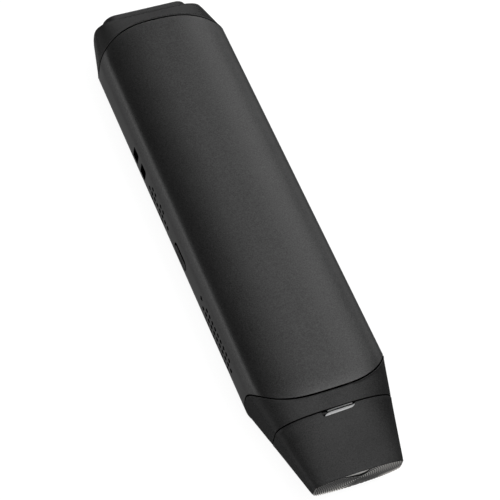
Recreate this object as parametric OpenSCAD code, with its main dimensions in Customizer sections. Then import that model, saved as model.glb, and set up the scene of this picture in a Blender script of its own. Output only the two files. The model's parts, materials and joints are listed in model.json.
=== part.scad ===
// HDMI stick computer with tapered ends and a pull-off cap over its plug.
// X is the width, Y the length with the plug towards -Y, Z is up from the underside.

/* [Body] */
// Length from the cap's end plate to the rear port block
body_l = 138; // [136:0.5:142]
// Width across the sleeve
body_w = 34; // [33.5:0.25:36]
// Height from the flat land underneath to the crown
body_h = 15; // [15:0.25:17]
// How far the flat land cuts into the oval underneath
land_cut = 0.2; // [0.1:0.05:0.5]
// Roundness of the crown: 2 is an ellipse and higher is flatter
crown_power = 2.9; // [2.6:0.1:4]
// Flatness of the two long sides
side_power = 4.5; // [3.8:0.1:5.5]
// Thickness of the sleeve's wall
wall_t = 1.2; // [1:0.05:1.3]
// Thickness of the sleeve's floor at the flat land
floor_t = 1.2; // [1:0.05:1.4]

/* [Front collar and cap] */
// Distance from the tip to the sleeve's front edge on the crown
nose_l = 19.2; // [18.5:0.1:21]
// How much further back the sleeve's front edge lies at the sides
nose_arc = 6.7; // [6:0.1:8]
// Power of the sleeve's front edge curve
nose_power = 3.5; // [3:0.1:4]
// Width of the flat tip
tip_w = 22.2; // [21.5:0.1:24]
// Height of the flat tip
tip_h = 7; // [6.4:0.1:8]
// How far the middle of the tip lies below the middle of the body
tip_drop = 0.5; // [0:0.05:0.6]
// Roundness of the tip along its width
tip_crown_power = 2.1; // [2.1:0.1:3]
// Roundness of the tip along its height
tip_side_power = 4.3; // [3.8:0.1:5]
// Length of the pull-off cap
cap_l = 15.2; // [14.8:0.1:15.8]
// Wall of the cap
cap_wall = 1.1; // [1:0.05:1.3]
// Distance from the tip to the bottom of the cap's hollow
cap_floor = 2.2; // [1.8:0.1:2.8]
// Open seam between the cap and the collar
seam_gap = 0.2; // [0.1:0.05:0.3]
// Length of the collar's tenon inside the cap
tenon_l = 4; // [3:0.25:5]
// Gap between the tenon and the cap
tenon_gap = 0.25; // [0.2:0.05:0.4]
// Wall of the tenon
tenon_wall = 0.9; // [0.7:0.05:1]
// Length of the finger notch in the cap's rim
notch_l = 8.1; // [7:0.1:9.5]
// Depth of the finger notch in front of the collar
notch_d = 1.4; // [1.2:0.05:1.6]
// Position across the stick of the finger notch
notch_x = 0.4; // [-1:0.1:1]
// Thickness of the metal end plate
plate_t = 0.8; // [0.6:0.05:1]
// Width of the rim round the end plate
plate_rim = 0.2; // [0.15:0.05:0.5]
// Pitch of the turned grooves on the end plate
groove_pitch = 0.8; // [0.7:0.05:1]

/* [Rear end] */
// Distance from the rear end to the sleeve's rear edge on the crown
tail_l = 7.3; // [7:0.1:8.2]
// How much further forward the sleeve's rear edge lies at the sides
tail_arc = 6.2; // [5.6:0.1:7]
// Power of the sleeve's rear edge curve
tail_power = 2.7; // [2.4:0.1:3]
// Width of the rear end face
tail_w = 29.4; // [29:0.1:31]
// Height of the rear end face
tail_h = 11.3; // [11:0.1:12.4]
// Roundness of the rear end face along its width
tail_crown_power = 4.2; // [3.8:0.1:5]
// Roundness of the rear end face along its height
tail_side_power = 3.1; // [2.8:0.1:4]
// How far the port block stands out of the rear end face
block_l = 2.8; // [2.2:0.1:3]
// Width of the port block
block_w = 22.7; // [20:0.1:24]
// Height of the port block
block_h = 6.8; // [6.7:0.1:7.6]
// Corner radius of the port block
block_r = 3.2; // [1.5:0.1:3.3]

/* [Left side] */
// Height of the centre line of the openings on the sides
side_z = 6.8; // [6.4:0.1:7.2]
// Position along the stick of the middle of the two strap slots
strap_y = 26.2; // [25:0.1:27]
// Length of one strap slot
strap_slot_l = 3.2; // [2.6:0.1:3.4]
// Height of one strap slot
strap_slot_h = 3.6; // [3:0.1:4]
// Width of the bar between the strap slots
strap_bar = 1.9; // [1.6:0.1:2.2]
// Diameter of one vent hole
vent_d = 0.9; // [0.7:0.05:1]
// Pitch of the vent holes
vent_pitch = 1.75; // [1.6:0.05:1.8]
// Position along the stick of the front vent field
front_vent_y = -25.66; // [-26.5:0.02:-25]
// Position along the stick of the rear vent field
rear_vent_y = 12.74; // [12:0.02:13.5]
// Position along the stick of the power button
button_y = -1.75; // [-3:0.05:0]
// Length of the power button
button_l = 7.1; // [6.5:0.1:7.5]
// Height of the power button
button_h = 2.2; // [2:0.1:2.4]
// Gap round the power button
button_gap = 0.2; // [0.15:0.05:0.3]
// How far the power button lies below the side's surface
button_sink = 0.3; // [0.2:0.05:0.4]
// Travel of the power button
button_travel = 0.4; // [0.3:0.05:0.45]
// Position along the stick of the status light
light_y = -15.1; // [-15.3:0.05:-14.5]
// Diameter of the status light
light_d = 0.84; // [0.7:0.02:0.9]

/* [Right side] */
// Position along the stick of the side data port
side_usb_y = 28; // [27:0.5:29]
// Position along the stick of the headphone jack
jack_y = 12; // [11.5:0.25:13]
// Bore diameter of the headphone jack
jack_d = 3.6; // [3.55:0.01:3.65]
// Position along the stick of the power inlet
inlet_y = -6; // [-6.5:0.25:-5]
// Gap round each connector in its opening
port_gap = 0.2; // [0.15:0.05:0.25]

/* [Connectors] */
// Width of the video plug's shell
plug_w = 13.9; // [13.8:0.02:14]
// Height of the video plug's shell
plug_h = 4.45; // [4.4:0.01:4.5]
// Length of the video plug beyond the collar
plug_reach = 11.7; // [11.3:0.1:11.9]
// Thickness of the connector shells
shell_t = 0.3; // [0.25:0.01:0.35]
// Inner width of a data port
usb_w = 12.5; // [12.4:0.02:12.6]
// Inner height of a data port
usb_h = 5.12; // [5.1:0.02:5.2]
// Depth of a data port's shell
usb_l = 13.8; // [13:0.1:14.2]

/* [Board] */
// Width of the circuit board
board_w = 23; // [22:0.25:23.25]
// Thickness of the circuit board
board_t = 1; // [0.8:0.1:1.2]
// Height of the board's upper face
board_top = 4.5; // [4.4:0.02:4.56]
// Thickness of the tray under the board
tray_t = 0.6; // [0.5:0.05:0.7]
// Radius of a board screw's shank
screw_r = 0.75; // [0.7:0.01:0.8]

/* [Fan] */
// Radius of the fan's rotor
rotor_r = 8.8; // [8:0.1:9]
// Number of fan blades
blade_n = 15; // [9:1:21]
// Radius of the fan's shaft
shaft_r = 0.75; // [0.6:0.05:0.9]
// Running clearance of the rotor on its shaft
shaft_fit = 0.05; // [0.03:0.01:0.08]

/* [Hidden] */
$fn = 48;
// Points round each oval section
ring_n = 72;
// Overlap that joins shapes, and how far cutting shapes reach past a surface
eps = 0.1;
over = 1;
// Half height of the uncut oval and the height of its centre
half_h = (body_h + land_cut) / 2;
half_w = body_w / 2;
mid_z = body_h - half_h;
tip_z = mid_z - tip_drop;
tip_y = -body_l / 2;
end_y = body_l / 2;
cap_y = tip_y + cap_l;
tail_y = end_y - block_l;
front_edge_y = tip_y + nose_l;
rear_edge_y = end_y - tail_l;
// Spigots of the collar and the rear end inside the sleeve
spigot_gap = 0.4;
spigot_wall = 1.2;
spigot_l = 11.8;
spigot_inset = wall_t + spigot_gap;
hollow_inset = spigot_inset + spigot_wall;
front_spigot_y = front_edge_y + spigot_l;
rear_spigot_y = rear_edge_y - spigot_l;
collar_wall = 1.6;
tail_wall = 2.6;
tenon_inset = cap_wall + tenon_gap;
// Bright bevel at the cap's notch
bevel_l = 0.9;
bevel_drop = 0.45;
bevel_t = 0.5;
bevel_slope = bevel_drop / bevel_l;
bevel_far_y = cap_y - notch_d;
bevel_near_y = bevel_far_y + bevel_l;
bevel_top_z = nose_z(bevel_far_y - tip_y) + nose_half_h(bevel_far_y - tip_y);
// Grooves and thumb scoop of the end plate
groove_half = 0.2;
groove_d = 0.16;
scoop_r = 6;
scoop_d = 0.7;
scoop_t = plate_t * 0.6;
// Openings on the two sides
side_cut_d = 2.6;
vent_z = side_z - 0.2;
front_vent_n = 11;
front_vent_rows = [[1:9], [0:10], [1:9]];
rear_vent_n = 8;
rear_vent_rows = [[2, 3, 5, 6], [0:7], [2, 3, 5, 6]];
strap_slot_r = 0.6;
// Pocket behind the strap slots
pocket_t = 0.6;
pocket_r = 1;
pocket_gap = 0.3;
pocket_l = 2 * strap_slot_l + strap_bar + 1.6;
pocket_h = strap_slot_h + 0.4;
// Status light, its pipe and the lamp under it
light_z = side_z + 1.4;
light_fit = 0.06;
light_sink = 0.1;
light_x = -board_w / 2 + 1.1;
led_size = [1.6, 0.8, 0.7];
// Video plug
plug_step = 0.3;
plug_slope = 1.75;
plug_blade_t = 0.8;
plug_blade_l = 8.1;
plug_sink = 0.6;
insulator_fit = 0.02;
plug_foot_l = 3;
plug_contact = [0.44, 6.5, 0.15];
plug_pitch = 1;
// Port sizes that follow from the shells
usb_outer_w = usb_w + 2 * shell_t;
usb_outer_h = usb_h + 2 * shell_t;
usb_z = board_top + usb_outer_h / 2;
usb_sink = 0.2;
usb_mouth = 9.6;
usb_corner_r = 0.3;
port_corner_r = usb_corner_r + shell_t;
usb_back_fit = 0.1;
usb_tongue_size = [8.4, 8.9, 1.7];
usb_tongue_z = 0.3;
usb_contact = [1, 7, 0.2];
usb_contact_x = [-3.5, -1, 1, 3.5];
port_mouth_x = half_w - 0.5;
jack_r = 2.5;
jack_body = [11.6, 6, 5.6];
jack_z = board_top + jack_body[2] / 2;
jack_mouth_x = half_w - 0.4;
jack_body_x = half_w - wall_t - 0.6;
jack_back_t = 0.8;
inlet_size = [5.2, 7.5, 2.6];
inlet_z = board_top + inlet_size[2] / 2;
inlet_step = 0.1;
inlet_slope = 1;
inlet_tongue = [4, 3.6, 0.65];
inlet_back_t = 1;
// Layout of the board and what stands on it
board_bottom = board_top - board_t;
board_front_y = cap_y + 5.8;
usb_front_y = end_y - usb_sink - usb_l;
usb_foot = 3;
board_rear_y = usb_front_y + usb_foot;
tray_z = 1.9;
tray_margin = 1;
rib_t = 1;
rib_spots = [-5, 4];
post_r = 1.9;
screw_fit = 0.05;
screw_head = [1.4, 0.7];
screw_drive = [1.8, 0.3, 0.3];
processor_size = [14, 14, 1];
processor_spot = [1, -2];
pad_t = 0.4;
sink_box = [[-7.5, -13], [9.5, 8]];
sink_base_t = 0.8;
sink_z = board_top + processor_size[2] + pad_t;
fin_n = 9;
fin_t = 0.6;
fin_h = 3;
// Bay between the heat sink and the rear port, whose pieces stretch with the stick
bay_y = sink_box[1][1];
bay_l = usb_front_y - bay_y;
memory_size = [9, bay_l * 0.234, 0.9];
memory_spots = [[-6, bay_y + bay_l * 0.2], [-6, bay_y + bay_l * 0.468]];
storage_size = [11.5, bay_l * 0.277, 1];
storage_spot = [-4.75, bay_y + bay_l * 0.808];
radio_size = [8, bay_l * 0.255, 1.8];
radio_spot = [7, bay_y + bay_l * 0.798];
screw_spots = [[-9.3, -10.5], [10.2, -12], [0.6, bay_y + bay_l * 0.191], [0.6, bay_y + bay_l * 0.617]];
// Antenna plates and their leads
antenna_size = [0.3, 6, 4];
antenna_x = half_w - hollow_inset - 0.5;
antenna_y = rear_edge_y + 1 - antenna_size[1];
lead_r = 0.4;
lead_n = 8;
lead_spread = 2;
lead_rise = 1;
lead_turn = 3;
// Button, its stem and the switch behind it
button_z = side_z - 0.6;
button_face_x = -half_w + button_sink;
flange_x = -half_w + wall_t + 0.4;
flange_t = 0.5;
flange_lip = 0.8;
stem_r = 1;
switch_size = [3, 4.5, 3.4];
switch_x = -board_w / 2 + 0.1;
plunger_r = 0.8;
plunger_fit = 0.05;
plunger_out = 1.2;
plunger_in = 0.5;
plunger_well = plunger_in + button_travel + 0.3;
// Fan
fan_spot = [-1, -26.5];
fan_half = 10.5;
fan_floor = 0.6;
fan_h = 5.5;
fan_lid_t = 0.5;
fan_gap = 0.9;
fan_mouth = 14;
fan_inlet_r = 6.2;
hub_r = 3.4;
blade_t = 0.5;
blade_lean = 25;
blade_root = 0.3;
blade_foot = 0.2;
blade_h = 3.4;
rotor_lift = 0.4;
rotor_h = 4;
shaft_l = rotor_lift + rotor_h * 0.8;
rotor_bore_l = rotor_h * 0.9;

// Point at angle t on an oval of half width a and half height b
function oval_point(a, b, m, n, t) =
    [a * sign(cos(t)) * pow(abs(cos(t)), 2 / m), b * sign(sin(t)) * pow(abs(sin(t)), 2 / n)];
function ring_angle(i) = 360 * i / ring_n;
// Body section drawn in by inset, with its underside cut flat at height low
function body_point(i, inset, low) =
    let (p = oval_point(half_w - inset, half_h - inset, crown_power, side_power, ring_angle(i)))
    [p[0], max(p[1], low - mid_z)];
function body_section(inset, low) = [for (i = [0:ring_n - 1]) body_point(i, inset, low)];
function tip_point(i, inset) =
    oval_point(tip_w / 2 - inset, tip_h / 2 - inset, tip_crown_power, tip_side_power, ring_angle(i));
function tail_point(i) =
    oval_point(tail_w / 2, tail_h / 2, tail_crown_power, tail_side_power, ring_angle(i));
// Curves of the sleeve's two edges seen from above
function front_edge(x) = front_edge_y + nose_arc * pow(abs(x) / half_w, nose_power);
function rear_edge(x) = rear_edge_y - tail_arc * pow(abs(x) / half_w, tail_power);
function front_ring() = [for (p = body_section(0, 0)) [p[0], front_edge(p[0]), p[1] + mid_z]];
function rear_ring() = [for (p = body_section(0, 0)) [p[0], rear_edge(p[0]), p[1] + mid_z]];
// Half sizes and middle height of the nose at a distance s from the tip
function nose_half_w(s) = tip_w / 2 + (half_w - tip_w / 2) * s / (nose_l + nose_arc);
function nose_half_h(s) = tip_h / 2 + (half_h - tip_h / 2) * s / nose_l;
function nose_z(s) = tip_z + tip_drop * s / nose_l;
// Ring of the nose at a distance s from the tip, drawn in by inset
function nose_point(i, s) =
    let (b = body_point(i, 0, 0), t = tip_point(i, 0) - [0, tip_drop])
    t + (b - t) * s / (front_edge(b[0]) - tip_y) + [0, mid_z - nose_z(s)];
function nose_ring(s, inset) =
    let (kx = 1 - inset / nose_half_w(s), kz = 1 - inset / nose_half_h(s))
    [for (i = [0:ring_n - 1]) let (p = nose_point(i, s)) [p[0] * kx, tip_y + s, p[1] * kz + nose_z(s)]];
function tail_ring() =
    [for (i = [0:ring_n - 1]) let (p = tail_point(i)) [p[0], tail_y, p[1] + mid_z]];

// Solid skin between a front ring and a rear ring, closed by upright strips at both ends
module loft(front, rear) {
    n = ring_n;
    sides = [for (i = [0:n - 1]) let (j = (i + 1) % n) each [[i, j, n + j], [i, n + j, n + i]]];
    front_strips = [for (i = [1:n / 2 - 2]) [i + 1, i, n - i, n - i - 1]];
    rear_strips = [for (i = [1:n / 2 - 2]) [n + i, n + i + 1, 2 * n - i - 1, 2 * n - i]];
    corners = [[1, 0, n - 1], [n / 2, n / 2 - 1, n / 2 + 1],
        [n, n + 1, 2 * n - 1], [n + n / 2 - 1, n + n / 2, n + n / 2 + 1]];
    polyhedron(points = concat(front, rear), faces = concat(sides, front_strips, rear_strips, corners));
}
// Flat shape drawn in X and Z, pushed along Y
module y_prism(y0, y1) {
    translate([0, y1, 0]) rotate([90, 0, 0]) linear_extrude(y1 - y0) children();
}
// Flat shape drawn in Y and Z, pushed along X
module x_prism(x0, x1) {
    translate([x0, 0, 0]) rotate([90, 0, 90]) linear_extrude(x1 - x0) children();
}
module x_rod(r, x0, x1) {
    translate([x0, 0, 0]) rotate([0, 90, 0]) cylinder(r = r, h = x1 - x0);
}
// Block standing on a height z, centred on a spot
module chip(spot, size, z) {
    translate([spot[0] - size[0] / 2, spot[1] - size[1] / 2, z]) cube(size);
}
// Rectangle with round corners, centred
module round_rect(w, h, r) {
    square([w - 2 * r, h], center = true);
    square([w, h - 2 * r], center = true);
    for (sx = [-1, 1], sy = [-1, 1]) translate([sx * (w / 2 - r), sy * (h / 2 - r)]) circle(r);
}
// Slot with round ends, centred, long way first
module slot(l, h) {
    square([l - h, h], center = true);
    for (s = [-1, 1]) translate([s * (l - h) / 2, 0]) circle(h / 2);
}
// Cut through the wall of one side, drawn in Y and Z
module side_cut(side) {
    x_prism(side < 0 ? -half_w - over : half_w - side_cut_d, side < 0 ? -half_w + side_cut_d : half_w + over)
        children();
}
// Rows of vent holes: each row is a list of column numbers
module vent_field(y, columns, rows) {
    for (r = [0:len(rows) - 1], c = rows[r])
        translate([y + (c - (columns - 1) / 2) * vent_pitch, vent_z + (1 - r) * vent_pitch])
            circle(d = vent_d);
}
module front_vents() {
    vent_field(front_vent_y, front_vent_n, front_vent_rows);
}
module rear_vents() {
    vent_field(rear_vent_y, rear_vent_n, rear_vent_rows);
}
module strap_slots() {
    for (s = [-1, 1]) translate([strap_y + s * (strap_slot_l + strap_bar) / 2, side_z])
        round_rect(strap_slot_l, strap_slot_h, strap_slot_r);
}

// Casing

module outer_sleeve() {
    color("#3a3a3c") difference() {
        loft(front_ring(), rear_ring());
        y_prism(tip_y, end_y) translate([0, mid_z]) polygon(body_section(wall_t, floor_t));
        side_cut(-1) {
            front_vents();
            rear_vents();
            strap_slots();
            translate([button_y, button_z]) slot(button_l + 2 * button_gap, button_h + 2 * button_gap);
            translate([light_y, light_z]) circle(d = light_d + light_fit);
        }
        side_cut(1) {
            front_vents();
            translate([side_usb_y, usb_z])
                round_rect(usb_outer_w + 2 * port_gap, usb_outer_h + 2 * port_gap, port_corner_r);
            translate([inlet_y, inlet_z])
                round_rect(inlet_size[1] + 2 * port_gap, inlet_size[2] + 2 * port_gap, port_gap);
            translate([jack_y, jack_z]) circle(jack_r + port_gap);
        }
    }
}

module rear_end_cap() {
    color("#2b2b2c") difference() {
        union() {
            loft(rear_ring(), tail_ring());
            y_prism(tail_y - eps, end_y) translate([0, usb_z]) round_rect(block_w, block_h, block_r);
            y_prism(rear_spigot_y, rear_edge_y + eps) translate([0, mid_z])
                polygon(body_section(spigot_inset, floor_t + spigot_gap));
        }
        y_prism(rear_spigot_y - over, tail_y - tail_wall) translate([0, mid_z])
            polygon(body_section(hollow_inset, 0));
        y_prism(rear_spigot_y, end_y + over) translate([0, usb_z])
            round_rect(usb_outer_w + port_gap, usb_outer_h + port_gap, port_corner_r);
    }
}

module front_collar() {
    bore_inset = tenon_inset + tenon_wall;
    color("#2b2b2c") difference() {
        union() {
            loft(nose_ring(cap_l, 0), front_ring());
            loft(nose_ring(cap_l - tenon_l, tenon_inset), nose_ring(cap_l + eps, tenon_inset));
            y_prism(front_edge_y - eps, front_spigot_y) translate([0, mid_z])
                polygon(body_section(spigot_inset, floor_t + spigot_gap));
        }
        loft(nose_ring(cap_l - tenon_l - over, bore_inset), nose_ring(cap_l, bore_inset));
        y_prism(cap_y + collar_wall, front_spigot_y + over) translate([0, mid_z])
            polygon(body_section(hollow_inset, 0));
        y_prism(cap_y - over, cap_y + collar_wall + over) translate([0, mid_z])
            square([plug_w + 2 * port_gap, plug_h + 2 * port_gap], center = true);
    }
}

// Finger notch seen from above, pushed up through the cap's wall
module notch_pill() {
    translate([notch_x, cap_y, mid_z]) linear_extrude(body_h) slot(notch_l, 2 * notch_d);
}
// Bright bevel that leads from the cap's surface down into the notch
module notch_bevel() {
    far = [bevel_far_y - over, bevel_top_z + bevel_slope * over];
    near = [bevel_near_y, bevel_top_z - bevel_drop];
    intersection() {
        notch_pill();
        x_prism(-half_w, half_w) polygon([far, near, near - [0, bevel_t], far - [0, bevel_t]]);
    }
}
// What the notch takes out of the cap: all behind the bevel, and only down to its underside elsewhere
module notch_room() {
    far = [bevel_far_y - over, bevel_top_z + bevel_slope * over - bevel_t];
    near = [bevel_near_y, bevel_top_z - bevel_drop - bevel_t];
    intersection() {
        notch_pill();
        x_prism(-half_w, half_w)
            polygon([[near[0], 0], [cap_y + over, 0], [cap_y + over, body_h], [far[0], body_h], far, near]);
    }
}

module plug_cap() {
    rim_s = cap_l - seam_gap;
    color("#2b2b2c") difference() {
        loft(nose_ring(0, 0), nose_ring(rim_s, 0));
        loft(nose_ring(cap_floor, cap_wall), nose_ring(cap_l + over, cap_wall));
        y_prism(tip_y - over, tip_y + plate_t) translate([0, tip_z])
            polygon([for (i = [0:ring_n - 1]) tip_point(i, plate_rim)]);
        notch_room();
    }
}

module cap_end_plate() {
    color("#8f8d8a") difference() {
        y_prism(tip_y, tip_y + plate_t) translate([0, tip_z])
            polygon([for (i = [0:ring_n - 1]) tip_point(i, plate_rim)]);
        translate([0, tip_y, tip_z]) rotate([-90, 0, 0]) rotate_extrude()
            for (r = [groove_pitch:groove_pitch:tip_w / 2])
                polygon([[r - groove_half, -eps], [r + groove_half, -eps], [r, groove_d]]);
        translate([0, tip_y - over, tip_z + tip_h / 2 - plate_rim - scoop_d + scoop_r]) rotate([-90, 0, 0])
            cylinder(r = scoop_r, h = over + scoop_t);
    }
}

module cap_notch_trim() {
    color("#c8c8ca") notch_bevel();
}

// Power button, its switch and the status light

module power_button() {
    color("#48484a") union() {
        translate([0, button_y, button_z]) {
            x_prism(button_face_x, flange_x + eps) slot(button_l, button_h);
            x_prism(flange_x, flange_x + flange_t) slot(button_l + 2 * flange_lip, button_h + 2 * flange_lip);
            x_rod(stem_r, flange_x, switch_x - plunger_out);
        }
    }
}

module switch_plunger() {
    color("#d8d4c8") translate([0, button_y, button_z])
        x_rod(plunger_r, switch_x - plunger_out, switch_x + plunger_in);
}

module power_switch() {
    color("#3c3c40") difference() {
        translate([switch_x, button_y - switch_size[1] / 2, board_top]) cube(switch_size);
        translate([0, button_y, button_z])
            x_rod(plunger_r + plunger_fit, switch_x - over, switch_x + plunger_well);
    }
}

module status_light() {
    foot_z = board_top + led_size[2] + eps;
    color("#dfe6ea") union() {
        translate([0, light_y, light_z]) x_rod(light_d / 2, -half_w + light_sink, light_x);
        translate([0, light_y, light_z]) x_rod(light_d, flange_x, flange_x + flange_t);
        translate([light_x, light_y, light_z]) sphere(d = light_d);
        translate([light_x, light_y, foot_z]) cylinder(d = light_d, h = light_z - foot_z);
    }
}

module status_led() {
    color("#e8e4d0") chip([light_x, light_y], led_size, board_top);
}

// Walled pocket that turns a cord from one strap slot to the other
module strap_pocket() {
    pocket_x = -half_w + wall_t + pocket_gap;
    back_x = -board_w / 2 - pocket_t;
    color("#202022") difference() {
        translate([0, strap_y, side_z]) x_prism(pocket_x, back_x)
            round_rect(pocket_l + 2 * pocket_t, pocket_h + 2 * pocket_t, pocket_r);
        translate([0, strap_y, side_z]) x_prism(pocket_x - over, back_x - pocket_t)
            round_rect(pocket_l, pocket_h, pocket_r / 2);
    }
}

// Video plug

module plug_outline(inset) {
    w = plug_w / 2 - inset;
    h = plug_h / 2 - inset;
    polygon([[-w, h], [-w, -plug_step], [-w + plug_slope, -h],
        [w - plug_slope, -h], [w, -plug_step], [w, h]]);
}

module hdmi_plug_shell() {
    tip = cap_y - plug_reach;
    color("#b9bcc0") translate([0, 0, mid_z]) difference() {
        y_prism(tip, board_front_y - 1) plug_outline(0);
        y_prism(tip - over, board_front_y) plug_outline(shell_t);
    }
}

module hdmi_plug_insulator() {
    tip = cap_y - plug_reach + plug_sink;
    floor_y = tip + plug_blade_l;
    foot = [plug_w - 1, plug_foot_l, mid_z + plug_h / 2 - board_top];
    color("#1c1c1e") union() {
        translate([0, 0, mid_z]) difference() {
            y_prism(tip, board_front_y - 1 + eps) plug_outline(shell_t + insulator_fit);
            y_prism(tip - over, floor_y)
                square([plug_w, plug_h - 2 * (shell_t + plug_blade_t)], center = true);
        }
        chip([0, board_front_y - 1 + plug_foot_l / 2], foot, board_top);
    }
}

// Row of n contacts side by side, centred
module plug_row(n) {
    for (i = [0:n - 1]) translate([(i - (n - 1) / 2) * plug_pitch - plug_contact[0] / 2, 0, 0])
        cube(plug_contact);
}

module hdmi_contacts() {
    tip = cap_y - plug_reach + 1;
    lip = plug_h / 2 - shell_t - plug_blade_t;
    color("#c9a64a") {
        translate([0, tip, mid_z + lip - plug_contact[2]]) plug_row(10);
        translate([0, tip, mid_z - lip]) plug_row(9);
    }
}

// Data port in its own frame: the mouth faces +Y at y = 0, the middle is at z = 0

module usb_shell() {
    color("#b9bcc0") difference() {
        y_prism(-usb_l, 0) round_rect(usb_outer_w, usb_outer_h, usb_corner_r + shell_t);
        y_prism(-usb_l + shell_t, over) round_rect(usb_w, usb_h, usb_corner_r);
    }
}

module usb_tongue() {
    color("#1d1d20") union() {
        y_prism(-usb_l + shell_t, -usb_mouth)
            round_rect(usb_w - usb_back_fit, usb_h - usb_back_fit, usb_corner_r);
        translate([-usb_tongue_size[0] / 2, -usb_mouth - eps, usb_tongue_z]) cube(usb_tongue_size);
    }
}

module usb_contacts() {
    color("#c9a64a") for (x = usb_contact_x)
        translate([x - usb_contact[0] / 2, -usb_mouth, usb_tongue_z - usb_contact[2]]) cube(usb_contact);
}

module at_rear_port() {
    translate([0, end_y - usb_sink, usb_z]) children();
}

module at_side_port() {
    translate([port_mouth_x, side_usb_y, usb_z]) rotate([0, 0, -90]) children();
}

module rear_usb_shell() {
    at_rear_port() usb_shell();
}

module rear_usb_tongue() {
    at_rear_port() usb_tongue();
}

module rear_usb_contacts() {
    at_rear_port() usb_contacts();
}

module side_usb_shell() {
    at_side_port() usb_shell();
}

module side_usb_tongue() {
    at_side_port() usb_tongue();
}

module side_usb_contacts() {
    at_side_port() usb_contacts();
}

// Power inlet and headphone jack

module inlet_outline(inset) {
    w = inlet_size[1] / 2 - inset;
    h = inlet_size[2] / 2 - inset;
    polygon([[-w, h], [-w, -inlet_step], [-w + inlet_slope, -h],
        [w - inlet_slope, -h], [w, -inlet_step], [w, h]]);
}

module power_inlet_shell() {
    back_x = port_mouth_x - inlet_size[0];
    color("#b9bcc0") translate([0, inlet_y, inlet_z]) difference() {
        x_prism(back_x, port_mouth_x) inlet_outline(0);
        x_prism(back_x + shell_t, port_mouth_x + over) inlet_outline(shell_t);
    }
}

module power_inlet_tongue() {
    back_x = port_mouth_x - inlet_size[0] + shell_t;
    color("#1d1d20") translate([0, inlet_y, inlet_z]) union() {
        x_prism(back_x, back_x + inlet_back_t) inlet_outline(shell_t + insulator_fit);
        translate([back_x, -inlet_tongue[1] / 2, 0]) cube(inlet_tongue);
    }
}

module audio_jack() {
    back_x = jack_body_x - jack_body[0];
    color("#222224") difference() {
        union() {
            translate([back_x, jack_y - jack_body[1] / 2, board_top]) cube(jack_body);
            translate([0, jack_y, jack_z]) x_rod(jack_r, jack_body_x - eps, jack_mouth_x);
        }
        translate([0, jack_y, jack_z]) x_rod(jack_d / 2, back_x + jack_back_t, jack_mouth_x + over);
    }
}

// Board and electronics

module inner_tray() {
    front = front_spigot_y + tray_margin;
    rear = rear_spigot_y - tray_margin;
    color("#5a5c60") difference() {
        union() {
            translate([-board_w / 2, front, tray_z]) cube([board_w, rear - front, tray_t]);
            for (x = rib_spots)
                translate([x, front, floor_t]) cube([rib_t, rear - front, tray_z - floor_t + eps]);
            for (p = screw_spots)
                translate([p[0], p[1], tray_z]) cylinder(r = post_r, h = board_bottom - tray_z);
        }
        for (p = screw_spots)
            translate([p[0], p[1], tray_z - over]) cylinder(r = screw_r + screw_fit, h = board_top);
    }
}

module main_board() {
    color("#1f4d3a") difference() {
        translate([-board_w / 2, board_front_y, board_bottom])
            cube([board_w, board_rear_y - board_front_y, board_t]);
        for (p = screw_spots)
            translate([p[0], p[1], board_bottom - over])
                cylinder(r = screw_r + 2 * screw_fit, h = board_t + 2 * over);
    }
}

module board_screws() {
    color("#a0a2a6") for (p = screw_spots) translate([p[0], p[1], 0]) difference() {
        union() {
            translate([0, 0, tray_z]) cylinder(r = screw_r, h = board_top - tray_z + eps);
            translate([0, 0, board_top]) cylinder(r = screw_head[0], h = screw_head[1]);
        }
        for (a = [0, 90]) rotate([0, 0, a])
            translate([-screw_drive[0] / 2, -screw_drive[1] / 2, board_top + screw_head[1] - screw_drive[2]])
                cube([screw_drive[0], screw_drive[1], over]);
    }
}

module processor() {
    color("#2a2e38") chip(processor_spot, processor_size, board_top);
}

module thermal_pad() {
    pad = [processor_size[0] - 1, processor_size[1] - 1, pad_t];
    color("#9aa4b8") chip(processor_spot, pad, board_top + processor_size[2]);
}

module heat_sink() {
    low = sink_box[0];
    size = sink_box[1] - sink_box[0];
    step = (size[0] - fin_t) / (fin_n - 1);
    color("#b87a4b") union() {
        translate([low[0], low[1], sink_z]) cube([size[0], size[1], sink_base_t]);
        for (i = [0:fin_n - 1]) translate([low[0] + i * step, low[1], sink_z])
            cube([fin_t, size[1], sink_base_t + fin_h]);
    }
}

module memory_chips() {
    color("#232326") for (p = memory_spots) chip(p, memory_size, board_top);
}

module storage_chip() {
    color("#26262a") chip(storage_spot, storage_size, board_top);
}

module wireless_module() {
    color("#a9abb0") chip(radio_spot, radio_size, board_top);
}

module antenna_plates() {
    color("#c08a50") for (s = [-1, 1])
        translate([s * antenna_x - antenna_size[0] / 2, antenna_y, mid_z - antenna_size[2] / 2])
            cube(antenna_size);
}

// Round lead through points that run towards +Y, with a ring of lead_n points at each
module lead(points, r) {
    n = lead_n;
    last = (len(points) - 1) * n;
    rings = [for (p = points, i = [0:n - 1]) p + r * [cos(360 * i / n), 0, sin(360 * i / n)]];
    sides = [for (k = [0:n:last - n], i = [0:n - 1]) let (j = (i + 1) % n)
        each [[k + i, k + j, k + n + j], [k + i, k + n + j, k + n + i]]];
    ends = [[for (i = [n - 1:-1:0]) i], [for (i = [0:n - 1]) last + i]];
    polyhedron(points = rings, faces = concat(sides, ends));
}

module antenna_leads() {
    lead_z = board_top + radio_size[2] + lead_r;
    plate_x = antenna_x - antenna_size[0] / 2 - lead_r;
    start_y = radio_spot[1];
    turn_y = start_y + radio_size[1] / 2 - 1;
    color("#101012") for (s = [-1, 1])
        lead([[radio_spot[0] + s * lead_spread, start_y, lead_z],
            [radio_spot[0] + s * lead_spread, turn_y - s, lead_z],
            [s * plate_x, turn_y + lead_turn - s, lead_z + lead_rise],
            [s * plate_x, antenna_y + 1, lead_z + lead_rise]], lead_r);
}

// Fan

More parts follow.
